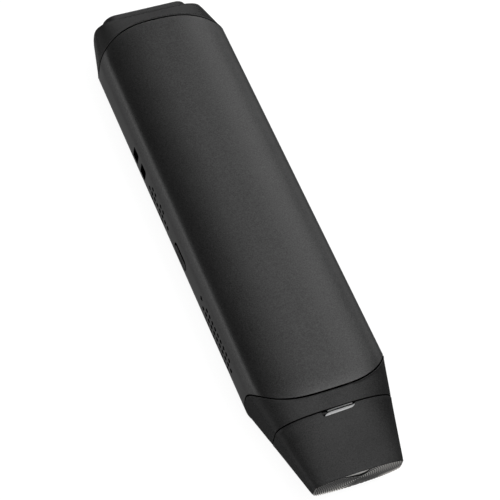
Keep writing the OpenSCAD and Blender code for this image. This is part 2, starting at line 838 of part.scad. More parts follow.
module fan_housing() {
    color("#2c2c30") difference() {
        chip(fan_spot, [2 * fan_half, 2 * fan_half, fan_h], board_top);
        translate([fan_spot[0], fan_spot[1], board_top + fan_floor])
            cylinder(r = rotor_r + fan_gap, h = fan_h);
        translate([fan_spot[0] - fan_half - over, fan_spot[1] - fan_mouth / 2, board_top + fan_floor])
            cube([fan_half, fan_mouth, fan_h]);
    }
}

module fan_cover() {
    color("#8a8c90") difference() {
        chip(fan_spot, [2 * fan_half, 2 * fan_half, fan_lid_t], board_top + fan_h);
        translate([fan_spot[0], fan_spot[1], board_top]) cylinder(r = fan_inlet_r, h = fan_h + 2 * over);
    }
}

module fan_shaft() {
    color("#c4c6ca") translate([fan_spot[0], fan_spot[1], board_top + fan_floor])
        cylinder(r = shaft_r, h = shaft_l);
}

module fan_impeller() {
    rotor_z = board_top + fan_floor + rotor_lift;
    color("#38383c") translate([fan_spot[0], fan_spot[1], rotor_z]) difference() {
        union() {
            cylinder(r = hub_r, h = rotor_h);
            for (i = [0:blade_n - 1]) rotate([0, 0, 360 * i / blade_n])
                translate([hub_r - blade_root, 0, blade_foot]) rotate([0, 0, -blade_lean])
                    translate([0, -blade_t / 2, 0]) cube([rotor_r - hub_r - 0.2, blade_t, blade_h]);
        }
        translate([0, 0, -over]) cylinder(r = shaft_r + shaft_fit, h = rotor_bore_l + over);
    }
}

outer_sleeve();
rear_end_cap();
front_collar();
plug_cap();
cap_end_plate();
cap_notch_trim();
power_button();
switch_plunger();
power_switch();
status_light();
status_led();
strap_pocket();
hdmi_plug_shell();
hdmi_plug_insulator();
hdmi_contacts();
rear_usb_shell();
rear_usb_tongue();
rear_usb_contacts();
side_usb_shell();
side_usb_tongue();
side_usb_contacts();
power_inlet_shell();
power_inlet_tongue();
audio_jack();
inner_tray();
main_board();
board_screws();
processor();
thermal_pad();
heat_sink();
memory_chips();
storage_chip();
wireless_module();
antenna_plates();
antenna_leads();
fan_housing();
fan_cover();
fan_shaft();
fan_impeller();
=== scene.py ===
import json
import math

import bmesh
import bpy
import numpy as np
from mathutils import Euler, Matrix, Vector

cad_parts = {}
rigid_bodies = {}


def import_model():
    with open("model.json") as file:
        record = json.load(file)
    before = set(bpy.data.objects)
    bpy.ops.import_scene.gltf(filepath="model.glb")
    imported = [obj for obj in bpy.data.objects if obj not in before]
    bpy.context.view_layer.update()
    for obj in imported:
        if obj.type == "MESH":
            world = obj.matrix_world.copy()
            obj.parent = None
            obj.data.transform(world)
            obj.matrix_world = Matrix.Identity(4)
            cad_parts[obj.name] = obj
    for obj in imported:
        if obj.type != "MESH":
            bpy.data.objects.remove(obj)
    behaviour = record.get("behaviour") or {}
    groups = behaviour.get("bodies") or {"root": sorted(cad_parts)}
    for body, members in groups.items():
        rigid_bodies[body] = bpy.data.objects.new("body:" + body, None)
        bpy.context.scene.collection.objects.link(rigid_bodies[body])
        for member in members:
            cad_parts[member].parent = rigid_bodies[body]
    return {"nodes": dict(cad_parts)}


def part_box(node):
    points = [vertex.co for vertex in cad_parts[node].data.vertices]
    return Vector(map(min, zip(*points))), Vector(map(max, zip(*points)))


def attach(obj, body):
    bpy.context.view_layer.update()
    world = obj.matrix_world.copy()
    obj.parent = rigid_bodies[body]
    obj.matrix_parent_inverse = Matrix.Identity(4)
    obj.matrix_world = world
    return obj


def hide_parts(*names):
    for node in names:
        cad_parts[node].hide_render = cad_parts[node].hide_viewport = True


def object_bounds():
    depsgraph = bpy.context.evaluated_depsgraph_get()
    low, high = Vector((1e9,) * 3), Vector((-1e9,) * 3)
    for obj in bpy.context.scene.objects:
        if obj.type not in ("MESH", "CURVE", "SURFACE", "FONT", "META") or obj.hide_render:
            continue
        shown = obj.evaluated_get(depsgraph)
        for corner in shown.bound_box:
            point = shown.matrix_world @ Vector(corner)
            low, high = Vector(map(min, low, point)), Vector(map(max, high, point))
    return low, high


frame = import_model()
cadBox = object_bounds()
nodes = frame["nodes"]
scene = bpy.context.scene
mm = 0.001
print("frame loaded:", len(nodes), "nodes")


# a socket that can stand in sums: every operator adds one Math node
class Wire:
    def __init__(self, tree, socket):
        self.tree, self.socket = tree, socket

    def sum(self, operation, *values):
        step = self.tree.nodes.new("ShaderNodeMath")
        step.operation = operation
        for place, value in enumerate(values):
            if isinstance(value, Wire):
                self.tree.links.new(value.socket, step.inputs[place])
            else:
                step.inputs[place].default_value = value
        return Wire(self.tree, step.outputs[0])

    def __add__(self, other): return self.sum("ADD", self, other)
    def __radd__(self, other): return self.sum("ADD", other, self)
    def __sub__(self, other): return self.sum("SUBTRACT", self, other)
    def __rsub__(self, other): return self.sum("SUBTRACT", other, self)
    def __mul__(self, other): return self.sum("MULTIPLY", self, other)
    def __rmul__(self, other): return self.sum("MULTIPLY", other, self)
    def __truediv__(self, other): return self.sum("DIVIDE", self, other)
    def __rtruediv__(self, other): return self.sum("DIVIDE", other, self)
    def __pow__(self, other): return self.sum("POWER", self, other)
    def __abs__(self): return self.sum("ABSOLUTE", self)
    def __lt__(self, other): return self.sum("LESS_THAN", self, other)
    def __gt__(self, other): return self.sum("GREATER_THAN", self, other)
    def cos(self): return self.sum("COSINE", self)
    def sin(self): return self.sum("SINE", self)
    def sign(self): return self.sum("SIGN", self)
    def most(self, other): return self.sum("MAXIMUM", self, other)
    def least(self, other): return self.sum("MINIMUM", self, other)


# one method makes every other node: its type, its settings, then its sockets
class Bench:
    def __init__(self, tree):
        self.tree = tree

    def put(self, socket, value):
        if isinstance(value, Wire):
            self.tree.links.new(value.socket, socket)
        else:
            socket.default_value = value

    def add(self, kind, settings=None, sockets=None, out=0):
        node = self.tree.nodes.new(kind)
        for name, value in (settings or {}).items():
            if name == "stops":
                ramp = node.color_ramp
                while len(ramp.elements) < len(value):
                    ramp.elements.new(0.5)
                for element, (place, colour) in zip(ramp.elements, value):
                    element.position, element.color = place, colour
            else:
                setattr(node, name, value)
        for name, value in (sockets or {}).items():
            self.put(node.inputs[name], value)
        return Wire(self.tree, node.outputs[out])


# geometry tree with named inputs; make() runs it on a mesh and leaves a plain mesh
class Former(Bench):
    def __init__(self, name, inputs):
        super().__init__(bpy.data.node_groups.new(name, "GeometryNodeTree"))
        face = self.tree.interface
        face.new_socket(name="Geometry", in_out="OUTPUT", socket_type="NodeSocketGeometry")
        face.new_socket(name="Geometry", in_out="INPUT", socket_type="NodeSocketGeometry")
        self.ids = {}
        for label, kind in inputs.items():
            self.ids[label] = face.new_socket(name=label, in_out="INPUT", socket_type=kind).identifier
        self.entry = self.tree.nodes.new("NodeGroupInput")

    def ask(self, label):
        return Wire(self.tree, self.entry.outputs[label])

    def close(self, shape):
        shape = self.add("GeometryNodeRealizeInstances", None, {"Geometry": shape})
        shape = self.add("GeometryNodeSetMaterial", None,
                         {"Geometry": shape, "Material": self.ask("Material")})
        self.tree.links.new(shape.socket, self.tree.nodes.new("NodeGroupOutput").inputs[0])
        return self

    def make(self, name, mesh, values):
        piece = placed(name, mesh)
        step = piece.modifiers.new("form", "NODES")
        step.node_group = self.tree
        for label, value in values.items():
            step[self.ids[label]] = value
        return settle(piece)


def placed(name, data):
    piece = bpy.data.objects.new(name, data)
    scene.collection.objects.link(piece)
    return piece


# the evaluated shape becomes the piece's own plain mesh
def settle(piece):
    ready = piece.evaluated_get(bpy.context.evaluated_depsgraph_get())
    mesh = bpy.data.meshes.new_from_object(ready)
    mesh.name = piece.name
    piece.modifiers.clear()
    piece.data = mesh
    return piece


def plainMesh(name, points, faces):
    mesh = bpy.data.meshes.new(name)
    mesh.from_pydata([tuple(p) for p in points], [], faces)
    return mesh


# four-sided faces between rings of n points each, ring after ring
def bands(rings, n, closed=False, first=0):
    faces = []
    for k in range(rings if closed else rings - 1):
        a, b = first + k * n, first + (k + 1) % rings * n
        faces.extend((a + i, b + i, b + (i + 1) % n, a + (i + 1) % n) for i in range(n))
    return faces


# closed solid through matching loops of points, which are in millimetres
def addSolid(work, loops):
    rings = [[work.verts.new((x * mm, y * mm, z * mm)) for x, y, z in loop] for loop in loops]
    n = len(rings[0])
    for low, high in zip(rings, rings[1:]):
        for i in range(n):
            work.faces.new((low[i], low[(i + 1) % n], high[(i + 1) % n], high[i]))
    work.faces.new(rings[0][::-1])
    work.faces.new(rings[-1])


def released(name, work):
    piece = placed(name, bpy.data.meshes.new(name))
    work.to_mesh(piece.data)
    work.free()
    return piece


def solid(name, *loops):
    work = bmesh.new()
    addSolid(work, loops)
    bmesh.ops.remove_doubles(work, verts=work.verts, dist=1e-7)
    bmesh.ops.recalc_face_normals(work, faces=work.faces)
    return released(name, work)


def polish(piece, crease=38, merge=2e-7):
    work = bmesh.new()
    work.from_mesh(piece.data)
    bmesh.ops.remove_doubles(work, verts=work.verts, dist=merge)
    bmesh.ops.dissolve_degenerate(work, edges=work.edges, dist=merge)
    bmesh.ops.recalc_face_normals(work, faces=work.faces)
    work.to_mesh(piece.data)
    work.free()
    piece.data.shade_smooth()
    piece.data.set_sharp_from_angle(angle=math.radians(crease))
    return piece


def cut(piece, tool):
    step = piece.modifiers.new("cut", "BOOLEAN")
    step.operation, step.solver, step.object = "DIFFERENCE", "EXACT", tool
    settle(piece)
    bpy.data.objects.remove(tool)
    return piece


# one vector for each face or point, as rows
def rowsOf(items, key):
    flat = np.empty(len(items) * 3)
    items.foreach_get(key, flat)
    return flat.reshape(-1, 3)


def stamp(mesh, name, domain, values):
    mesh.attributes.new(name, "FLOAT", domain).data.foreach_set("value", np.asarray(values, float))


# gives a piece its one finish, and tells the frame what carries it and what it stands for
def seat(piece, body, slot, *stoodFor):
    piece.data.materials.clear()
    piece.data.materials.append(looks[slot])
    for face in piece.data.polygons:
        face.material_index = 0
    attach(piece, body)
    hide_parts(*stoodFor)


# finishes: constants go on the shader's own sockets, what varies comes through nodes
class Finish(Bench):
    def __init__(self, name, **fixed):
        self.material = bpy.data.materials.new(name)
        self.material.use_nodes = True
        super().__init__(self.material.node_tree)
        self.shader = self.tree.nodes["Principled BSDF"]
        for label, value in fixed.items():
            self.shader.inputs[label.replace("_", " ")].default_value = value
        self.place = self.add("ShaderNodeTexCoord", None, None, "Object")

    def feed(self, label, value):
        self.put(self.shader.inputs[label], value)

    def axis(self, name):
        return self.add("ShaderNodeSeparateXYZ", None, {"Vector": self.place}, name)

    def mark(self, name):
        return self.add("ShaderNodeAttribute", {"attribute_name": name}, None, "Fac")

    def speckle(self, size, detail=2.0, rough=0.5, stretch=(1, 1, 1)):
        spot = self.place
        if stretch != (1, 1, 1):
            spot = self.add("ShaderNodeMapping", None, {"Vector": self.place, "Scale": stretch})
        return self.add("ShaderNodeTexNoise", None,
                        {"Vector": spot, "Scale": 1 / size, "Detail": detail, "Roughness": rough})

    def ramp(self, factor, *stops):
        return self.add("ShaderNodeValToRGB", {"stops": [(p, (*c, 1)) for p, c in stops]}, {"Fac": factor})

    def blend(self, factor, first, second):
        first, second = [c if isinstance(c, Wire) else (*c, 1) for c in (first, second)]
        return self.add("ShaderNodeMix", {"data_type": "RGBA"}, {0: factor, 6: first, 7: second}, 2)

    def relief(self, height, depth, strength):
        bump = self.add("ShaderNodeBump", None, {"Height": height, "Distance": depth, "Strength": strength})
        self.feed("Normal", bump)

    # a fine and a slow noise share in the tone and the roughness; the fine one is in relief too
    def weather(self, fine, slow, look):
        change = (fine - 0.5) * look["fineRough"] + (slow - 0.5) * look["slowRough"]
        self.feed("Roughness", look["roughness"] + change)
        self.relief(fine, look["depth"], look["relief"])
        return fine * look["share"] + slow * (1 - look["share"])

    def shade(self, tone, look):
        return self.ramp(tone, *zip(look["stops"], (look["dark"], look["light"])))


# satin metallic paint: fine flake, slow cloudiness, little sheen at grazing angles; its inside colour is
# painted shade for holes and seams
sleeveLook = {"dark": (0.035, 0.035, 0.035), "light": (0.0735, 0.0735, 0.0735), "stops": (0.1, 0.9),
              "grain": 0.27 * mm, "cloud": 9 * mm, "share": 0.9, "contrast": 1.75, "roughness": 0.37,
              "fineRough": 0.16, "slowRough": 0.04, "depth": 0.006 * mm, "relief": 0.6,
              "rim": (0.47, 0.47, 0.47, 1), "inside": (0.002, 0.002, 0.002)}


def makeSleevePaint():
    finish = Finish("sleevePaint", Metallic=1.0, Specular_Tint=sleeveLook["rim"])
    grain = finish.speckle(sleeveLook["grain"], 3, 0.6)
    cloud = finish.speckle(sleeveLook["cloud"], 3)
    tone = (finish.weather(grain, cloud, sleeveLook) - 0.5) * sleeveLook["contrast"] + 0.5
    paint = finish.shade(tone, sleeveLook)
    # painted shade: faces marked inside, in the holes and seams, are coloured near black
    finish.feed("Base Color", finish.blend(finish.mark("inside"), paint, sleeveLook["inside"]))
    return finish.material


# fine spark-eroded plastic of the two ends
endLook = {"dark": (0.013, 0.013, 0.0131), "light": (0.049, 0.049, 0.0491), "stops": (0.25, 0.75),
           "pit": 0.25 * mm, "cloud": 12 * mm, "share": 0.7, "roughness": 0.5, "fineRough": 0.14,
           "slowRough": 0.1, "depth": 0.007 * mm, "relief": 0.5, "rim": (0.32, 0.32, 0.32, 1),
           "inside": (0.002, 0.002, 0.002)}


def makeEndPlastic():
    finish = Finish("endPlastic", Metallic=0.85, Specular_IOR_Level=0.2, Specular_Tint=endLook["rim"])
    pit = finish.speckle(endLook["pit"], 2, 0.55)
    cloud = finish.speckle(endLook["cloud"], 2)
    skinTone = finish.shade(finish.weather(pit, cloud, endLook), endLook)
    # painted shade: seams, holes and the faces inside the finger notch are coloured near black
    paintedShadeMask = finish.mark("inside").most(finish.mark("notch"))
    finish.feed("Base Color", finish.blend(paintedShadeMask, skinTone, endLook["inside"]))
    return finish.material


# lathe-turned metal: rings of painted shade in step with its grooves, a painted bow-tie sheen, painted glints
# at its edges
plateLook = {"dark": (0.010, 0.0097, 0.0092), "middle": (0.014, 0.0136, 0.013), "sides": (0.34, 0.33, 0.315),
             "tooth": (0.90, 0.86, 0.81), "nickFloorLit": (0.42, 0.416, 0.405), "wall": (0.02, 0.02, 0.02),
             "ringPitch": 0.5 * mm, "ringShare": 0.8, "ringRough": 0.12, "smear": 1.7 * mm, "smearRough": 0.1,
             "sheenLean": 21, "sheenPower": 7, "sheenLeast": 0.8, "sheenGrow": 30,
             "roughness": 0.33, "metallic": 0.9}


def makeSpunPlate():
    finish = Finish("spunPlate")
    low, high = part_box("cap_end_plate")
    x, z = finish.axis("X"), finish.axis("Z") - (low.z + high.z) / 2
    square = x * x + z * z
    lean = math.radians(plateLook["sheenLean"])
    along = x * math.cos(lean) + z * math.sin(lean)
    # painted sheen: a bow tie of light along a tilted line across the plate, stronger on the right
    sheen = (along * along / square) ** plateLook["sheenPower"]
    sheen = sheen * (x * plateLook["sheenGrow"] + plateLook["sheenLeast"])  # more on the right
    smear = finish.speckle(plateLook["smear"], 3)
    # painted shade: the rings are darker in each groove
    rings = 0.5 - (square ** 0.5 * (2 * math.pi / plateLook["ringPitch"])).cos() * 0.5  # dark in each groove
    land = finish.blend(sheen, plateLook["middle"], plateLook["sides"])
    # painted highlight: glints on the teeth at the lower edge and along the upper rim
    land = finish.blend(finish.mark("teeth"), land, plateLook["tooth"])
    turned = rings * plateLook["ringShare"] + smear * (1 - plateLook["ringShare"])
    turned = finish.blend(turned, plateLook["dark"], land)
    # painted light and shade: the nick's floor is coloured light and not metallic, its walls near black
    nick = finish.mark("nick")  # 1 on the nick's floor, -1 on its walls
    face = finish.blend(nick > 0.5, turned, plateLook["nickFloorLit"])
    finish.feed("Base Color", finish.blend(nick < -0.5, face, plateLook["wall"]))
    finish.feed("Metallic", plateLook["metallic"] * (1 - (nick > 0.5)))
    change = rings * plateLook["ringRough"] + (smear - 0.5) * plateLook["smearRough"]
    finish.feed("Roughness", plateLook["roughness"] + change)
    return finish.material


# drawn or plated metals share one recipe: streaks along one axis and faint scuffs
metalWear = {"metallic": 1.0, "stops": (0.3, 0.7), "scuff": 2.5 * mm, "share": 0.6, "fineRough": 0.18,
             "slowRough": 0.16, "depth": 0.004 * mm, "relief": 0.4}
metalLooks = {
    "brightTrim": {"dark": (0.42, 0.42, 0.424), "light": (0.50, 0.50, 0.50), "roughness": 0.42,
                   "metallic": 0.5, "streak": (0.15, 1, 1), "size": 0.2 * mm},
    "connectorSteel": {"dark": (0.42, 0.425, 0.43), "light": (0.60, 0.605, 0.61), "roughness": 0.28,
                       "streak": (1, 0.12, 1), "size": 0.25 * mm},
    "contactGold": {"dark": (0.58, 0.39, 0.13), "light": (0.80, 0.58, 0.22), "roughness": 0.24,
                    "streak": (1, 0.1, 1), "size": 0.15 * mm},
    "trayMetal": {"dark": (0.20, 0.205, 0.21), "light": (0.34, 0.345, 0.35), "roughness": 0.38,
                  "streak": (0.1, 1, 1), "size": 0.4 * mm},
    "sinkMetal": {"dark": (0.48, 0.235, 0.12), "light": (0.70, 0.38, 0.215), "roughness": 0.3,
                  "streak": (1, 0.08, 1), "size": 0.35 * mm},
}


def makeMetal(name):
    look = {**metalWear, **metalLooks[name]}
    finish = Finish(name, Metallic=look["metallic"])
    streak = finish.speckle(look["size"], 3, 0.6, look["streak"])
    scuff = finish.speckle(look["scuff"], 4, 0.65)
    finish.feed("Base Color", finish.shade(finish.weather(streak, scuff, look), look))
    return finish.material


# moulded plastics, resin, rubber and pads: pitted skin with a slow change of tone
mouldSkin = {"metallic": 0.0, "stops": (0.3, 0.7), "cloud": 3 * mm, "share": 0.6, "fineRough": 0.2,
             "slowRough": 0.1, "depth": 0.006 * mm, "relief": 0.5}
mouldLooks = {
    "buttonPlastic": {"dark": (0.030, 0.030, 0.0302), "light": (0.052, 0.052, 0.0522), "pit": 0.1 * mm,
                      "roughness": 0.42, "metallic": 0.85},
    "blackPlastic": {"dark": (0.012, 0.012, 0.0125), "light": (0.024, 0.024, 0.025), "pit": 0.12 * mm,
                     "roughness": 0.48},
    "chipResin": {"dark": (0.014, 0.014, 0.016), "light": (0.032, 0.032, 0.034), "pit": 0.06 * mm,
                  "roughness": 0.62},
    "padRubber": {"dark": (0.20, 0.24, 0.31), "light": (0.31, 0.36, 0.44), "pit": 0.2 * mm,
                  "roughness": 0.75},
    "leadRubber": {"dark": (0.008, 0.008, 0.009), "light": (0.02, 0.02, 0.021), "pit": 0.08 * mm,
                   "roughness": 0.55},
}


def makeMoulded(name):
    look = {**mouldSkin, **mouldLooks[name]}
    finish = Finish(name, Specular_IOR_Level=0.3, Metallic=look["metallic"], Specular_Tint=endLook["rim"])
    pit = finish.speckle(look["pit"], 2, 0.55)
    cloud = finish.speckle(look["cloud"], 3)
    skinTone = finish.shade(finish.weather(pit, cloud, look), look)
    # painted shade: faces marked inside, such as the button's flanks, are coloured near black
    finish.feed("Base Color", finish.blend(finish.mark("inside"), skinTone, endLook["inside"]))
    return finish.material


# smoked pipe that carries the lamp's light; dark while the lamp is off
pipeLook = {"dark": (0.001, 0.001, 0.0011), "light": (0.003, 0.003, 0.0032), "stops": (0.3, 0.7),
            "haze": 0.4 * mm, "roughness": 0.18, "hazeRough": 0.2}


def makeLightPipe():
    finish = Finish("lightPipe", Metallic=1.0, Specular_Tint=endLook["rim"])
    haze = finish.speckle(pipeLook["haze"], 3)
    finish.feed("Base Color", finish.shade(haze, pipeLook))
    finish.feed("Roughness", pipeLook["roughness"] + haze * pipeLook["hazeRough"])
    return finish.material


# green laminate: solder mask over a lattice of copper tracks, with its glass weave in relief
boardLook = {"mask": (0.012, 0.06, 0.035), "track": (0.028, 0.12, 0.06), "trackPitch": 0.7 * mm,
             "trackFrom": 0.25, "field": 3 * mm, "fieldFrom": 0.5, "wander": 4 * mm, "drift": 2 * mm,
             "weave": 0.5 * mm, "weaveShare": 0.15, "roughness": 0.36, "weaveRough": 0.05,
             "trackSmooth": 0.06, "depth": 0.012 * mm, "relief": 0.6}


def makeBoardLaminate():
    finish = Finish("boardLaminate", Specular_IOR_Level=0.5)
    x, y = finish.axis("X"), finish.axis("Y")
    wander = finish.speckle(boardLook["wander"], 1)
    lanes = ((x + wander * boardLook["drift"]) * (2 * math.pi / boardLook["trackPitch"])).sin()
    field = finish.speckle(boardLook["field"], 0)
    tracks = (lanes > boardLook["trackFrom"]) * (field > boardLook["fieldFrom"])
    thread = 2 * math.pi / boardLook["weave"]
    weave = (x * thread).sin() * (y * thread).sin()
    finish.feed("Base Color", finish.blend(tracks, boardLook["mask"], boardLook["track"]))
    rough = boardLook["roughness"] + weave * boardLook["weaveRough"] - tracks * boardLook["trackSmooth"]
    finish.feed("Roughness", rough)
    finish.relief(tracks + weave * boardLook["weaveShare"], boardLook["depth"], boardLook["relief"])
    return finish.material


looks = {"sleeve_paint": makeSleevePaint(), "end_plastic": makeEndPlastic(), "spun_plate": makeSpunPlate(),
         "light_pipe": makeLightPipe(), "board_laminate": makeBoardLaminate(),
         "bright_trim": makeMetal("brightTrim"), "connector_steel": makeMetal("connectorSteel"),
         "contact_gold": makeMetal("contactGold"), "tray_metal": makeMetal("trayMetal"),
         "sink_metal": makeMetal("sinkMetal"), "button_plastic": makeMoulded("buttonPlastic"),
         "black_plastic": makeMoulded("blackPlastic"), "chip_resin": makeMoulded("chipResin"),
         "pad_rubber": makeMoulded("padRubber"), "lead_rubber": makeMoulded("leadRubber")}
print("finishes:", len(looks))


# the stick's own form, in millimetres: ovals at the tip, along the sleeve and at the tail,
# and the two curved edges where the ends meet the sleeve
stick = {"landCut": 0.2, "crownPower": 2.9, "sidePower": 4.5,
         "noseLength": 19.2, "noseArc": 5.9, "noseCurve": 3.5, "noseSlant": 1.3, "capLength": 15.2,
         "tipWidth": 22.2, "tipHeight": 7.0, "tipCrown": 2.1, "tipSide": 4.3, "tipDrop": 0.5,
         "tailLength": 7.3, "tailArc": 6.2, "tailCurve": 2.7, "blockOut": 2.8,
         "tailWidth": 29.4, "tailHeight": 11.3, "tailCrown": 4.2, "tailSide": 3.1,
         "round": 320, "gapFrom": 0.06, "gapTo": 1.0, "blockPower": 7, "portPower": 12}
halfLength = (cadBox[1].y - cadBox[0].y) / 2 / mm
halfWidth = (cadBox[1].x - cadBox[0].x) / 2 / mm
crown = (cadBox[1].z - cadBox[0].z) / mm
halfHeight = (crown + stick["landCut"]) / 2
midZ = crown - halfHeight
tipY = -halfLength
capY = tipY + stick["capLength"]
tailY = halfLength - stick["blockOut"]
turns = np.arange(stick["round"]) / stick["round"] * 2 * np.pi

ovalKeys = ["Width", "Height", "Crown", "Side", "Edge", "Arc", "Curve", "Sink", "Slant"]


# ruled skin between two ovals; a row of the lattice says how far along, how deep and how far shifted
def makeSkinFormer():
    inputs = {"Land": "NodeSocketFloat", "Middle": "NodeSocketFloat", "Material": "NodeSocketMaterial"}
    inputs.update({end + " " + key: "NodeSocketFloat" for end in ("Front", "Rear") for key in ovalKeys})
    tree = Former("ovalSkin", inputs)

    def told(name):
        return tree.add("GeometryNodeInputNamedAttribute", {"data_type": "FLOAT"}, {"Name": name})

    turn, inset = told("turn"), told("inset")
    c, s = turn.cos(), turn.sin()

    def oval(end):
        wide, tall, crownPower, sidePower, edge, arc, curve, sink, slant = [
            tree.ask(end + " " + key) for key in ovalKeys]
        x = wide * c.sign() * abs(c) ** (2 / crownPower)
        z = tall * s.sign() * abs(s) ** (2 / sidePower)
        bow = (abs(x) / wide) ** curve
        level = 1 - (z / tall) ** 2  # 1 half-way up the sides
        y = edge + (arc + slant * level ** 3) * bow
        return x, y, z.most(0 - tree.ask("Land")) - sink

    front, rear = oval("Front"), oval("Rear")
    along = told("along") + told("station") / (rear[1] - front[1])
    x, y, z = [f + (r - f) * along for f, r in zip(front, rear)]

    def between(key):
        return tree.ask("Front " + key) + (tree.ask("Rear " + key) - tree.ask("Front " + key)) * along

    wide, tall, sunk = between("Width"), between("Height"), between("Sink")
    x = x * (1 - inset / wide)
    z = ((z + sunk) * (1 - inset / tall) - sunk).most(inset - tree.ask("Land")) + tree.ask("Middle")
    spot = tree.add("ShaderNodeCombineXYZ", None, {"X": x, "Y": y + told("shift"), "Z": z})
    shape = tree.add("GeometryNodeSetPosition", None,
                     {"Geometry": tree.ask("Geometry"), "Selection": told("free") < 0.5, "Position": spot})
    return tree.close(shape)


skinFormer = makeSkinFormer()


def ovalEnd(end, width, height, crownPower, sidePower, edge, arc=0.0, curve=1.0, sunk=0.0, slant=0.0):
    sizes = (width * mm, height * mm, crownPower, sidePower, edge * mm,
             arc * mm, curve, sunk * mm, slant * mm)
    return {end + " " + key: float(size) for key, size in zip(ovalKeys, sizes)}


sleeveOval = (halfWidth, halfHeight, stick["crownPower"], stick["sidePower"])
frontCurve = (tipY + stick["noseLength"], stick["noseArc"], stick["noseCurve"], 0.0, stick["noseSlant"])
rearCurve = (halfLength - stick["tailLength"], -stick["tailArc"], stick["tailCurve"])
sleeveFront, sleeveRear = (*sleeveOval, *frontCurve), (*sleeveOval, *rearCurve)
tipOval = (stick["tipWidth"] / 2, stick["tipHeight"] / 2, stick["tipCrown"], stick["tipSide"], tipY,
           0.0, 1.0, stick["tipDrop"])
noseRise = (halfHeight - stick["tipHeight"] / 2 + stick["tipDrop"]) / stick["noseLength"]
tailOval = (stick["tailWidth"] / 2, stick["tailHeight"] / 2, stick["tailCrown"], stick["tailSide"], tailY)


# lattice rows: a dictionary is an oval row, an array a ring that is already in place
def skin(name, rows, front, rear, closed, slot):
    n = stick["round"]
    points = []
    told = {key: [] for key in ("turn", "along", "station", "inset", "shift", "free")}
    for row in rows:
        fixed = not isinstance(row, dict)
        points.extend(row * mm if fixed else np.zeros((n, 3)))
        told["turn"].extend(turns)
        told["free"].extend([float(fixed)] * n)
        told["along"].extend([0.0 if fixed else row.get("along", 0.0)] * n)
        for key in ("station", "inset", "shift"):
            told[key].extend(np.broadcast_to(0.0 if fixed else row.get(key, 0.0) * mm, n))
    mesh = plainMesh(name, points, bands(len(rows), n, closed))
    for key, column in told.items():
        stamp(mesh, key, "POINT", column)
    piece = skinFormer.make(name, mesh, {**ovalEnd("Front", *front), **ovalEnd("Rear", *rear),
                                         "Land": midZ * mm, "Middle": midZ * mm, "Material": looks[slot]})
    for key in told:
        piece.data.attributes.remove(piece.data.attributes[key])
    inset = np.array(told["inset"]) / mm
    # painted shade: rows in the seams between the parts are marked inside and coloured near black
    gap = (inset > stick["gapFrom"]) & (inset < stick["gapTo"])  # dark between the parts
    stamp(piece.data, "inside", "POINT", gap)
    return polish(piece)


# quarter-round edge as lattice rows, from its end face (deep) to the skin (flush), or back
def rolled(radius, where, towards, steps=5, back=False):
    rows = []
    for k in range(steps + 1):
        a = math.pi / 2 * k / steps
        rows.append({**where, "inset": where.get("inset", 0) + radius * (1 - math.sin(a)),
                     "shift": where.get("shift", 0) + towards * radius * (1 - math.cos(a))})
    return rows[::-1] if back else rows


def eased(wave, power):
    return np.sign(wave) * np.abs(wave) ** (2 / power)


# ring with the sleeve's section, at one depth under its skin
def bodyRing(inset, y):
    x = (halfWidth - inset) * eased(np.cos(turns), stick["crownPower"])
    z = (halfHeight - inset) * eased(np.sin(turns), stick["sidePower"])
    return np.stack([x, np.full(len(turns), float(y)), np.maximum(z, inset - midZ) + midZ], 1)


# ring of a rectangle with round corners
def boxRing(width, height, corner, y, z, power):
    half = np.array([width, height]) / 2
    spots = np.stack([half[0] * eased(np.cos(turns), power), half[1] * eased(np.sin(turns), power)], 1)
    core = np.clip(spots, corner - half, half - corner)
    out = spots - core
    out /= np.maximum(np.linalg.norm(out, axis=1, keepdims=True), 1e-9)
    ring = core + out * corner
    return np.stack([ring[:, 0], np.full(len(turns), float(y)), ring[:, 1] + z], 1)


def hubRing(y):
    return np.tile([0.0, y, midZ], (stick["round"], 1))


# sleeve: the oval tube, its rolled edges and everything that is cut through its sides;
# a cut is its side, its place along and up, its length, height and corner
sleeve = {"wall": 1.2, "edge": 0.18, "seam": 0.12, "stations": 26, "skin": 0.99,
          "ventZ": 6.6, "ventAcross": 0.95, "ventSides": 20, "ventPitch": 1.75, "ventMouth": 0.3,
          "ventFlare": 0.24, "ventOut": 0.25, "frontVentY": -25.66, "rearVentY": 12.74,
          "frontVents": (range(1, 10), range(11), range(1, 10)),
          "rearVents": ((2, 3, 5, 6), range(8), (2, 3, 5, 6)),
          "depth": 2.6, "over": 1.0, "flare": 0.1,
          "cuts": {"strapFront": (-1, 23.65, 6.8, 3.2, 3.6, 0.6),
                   "strapRear": (-1, 28.75, 6.8, 3.2, 3.6, 0.6),
                   "button": (-1, -1.75, 6.43, 7.7, 3.3, 1.65), "light": (-1, -15.1, 8.2, 1.35, 1.35, 0.675),
                   "dataPort": (1, 28, 7.36, 13.5, 6.12, 0.6), "powerPort": (1, -6, 5.8, 7.9, 3.0, 0.35),
                   "jack": (1, 12, 7.3, 5.4, 5.4, 2.7)}}


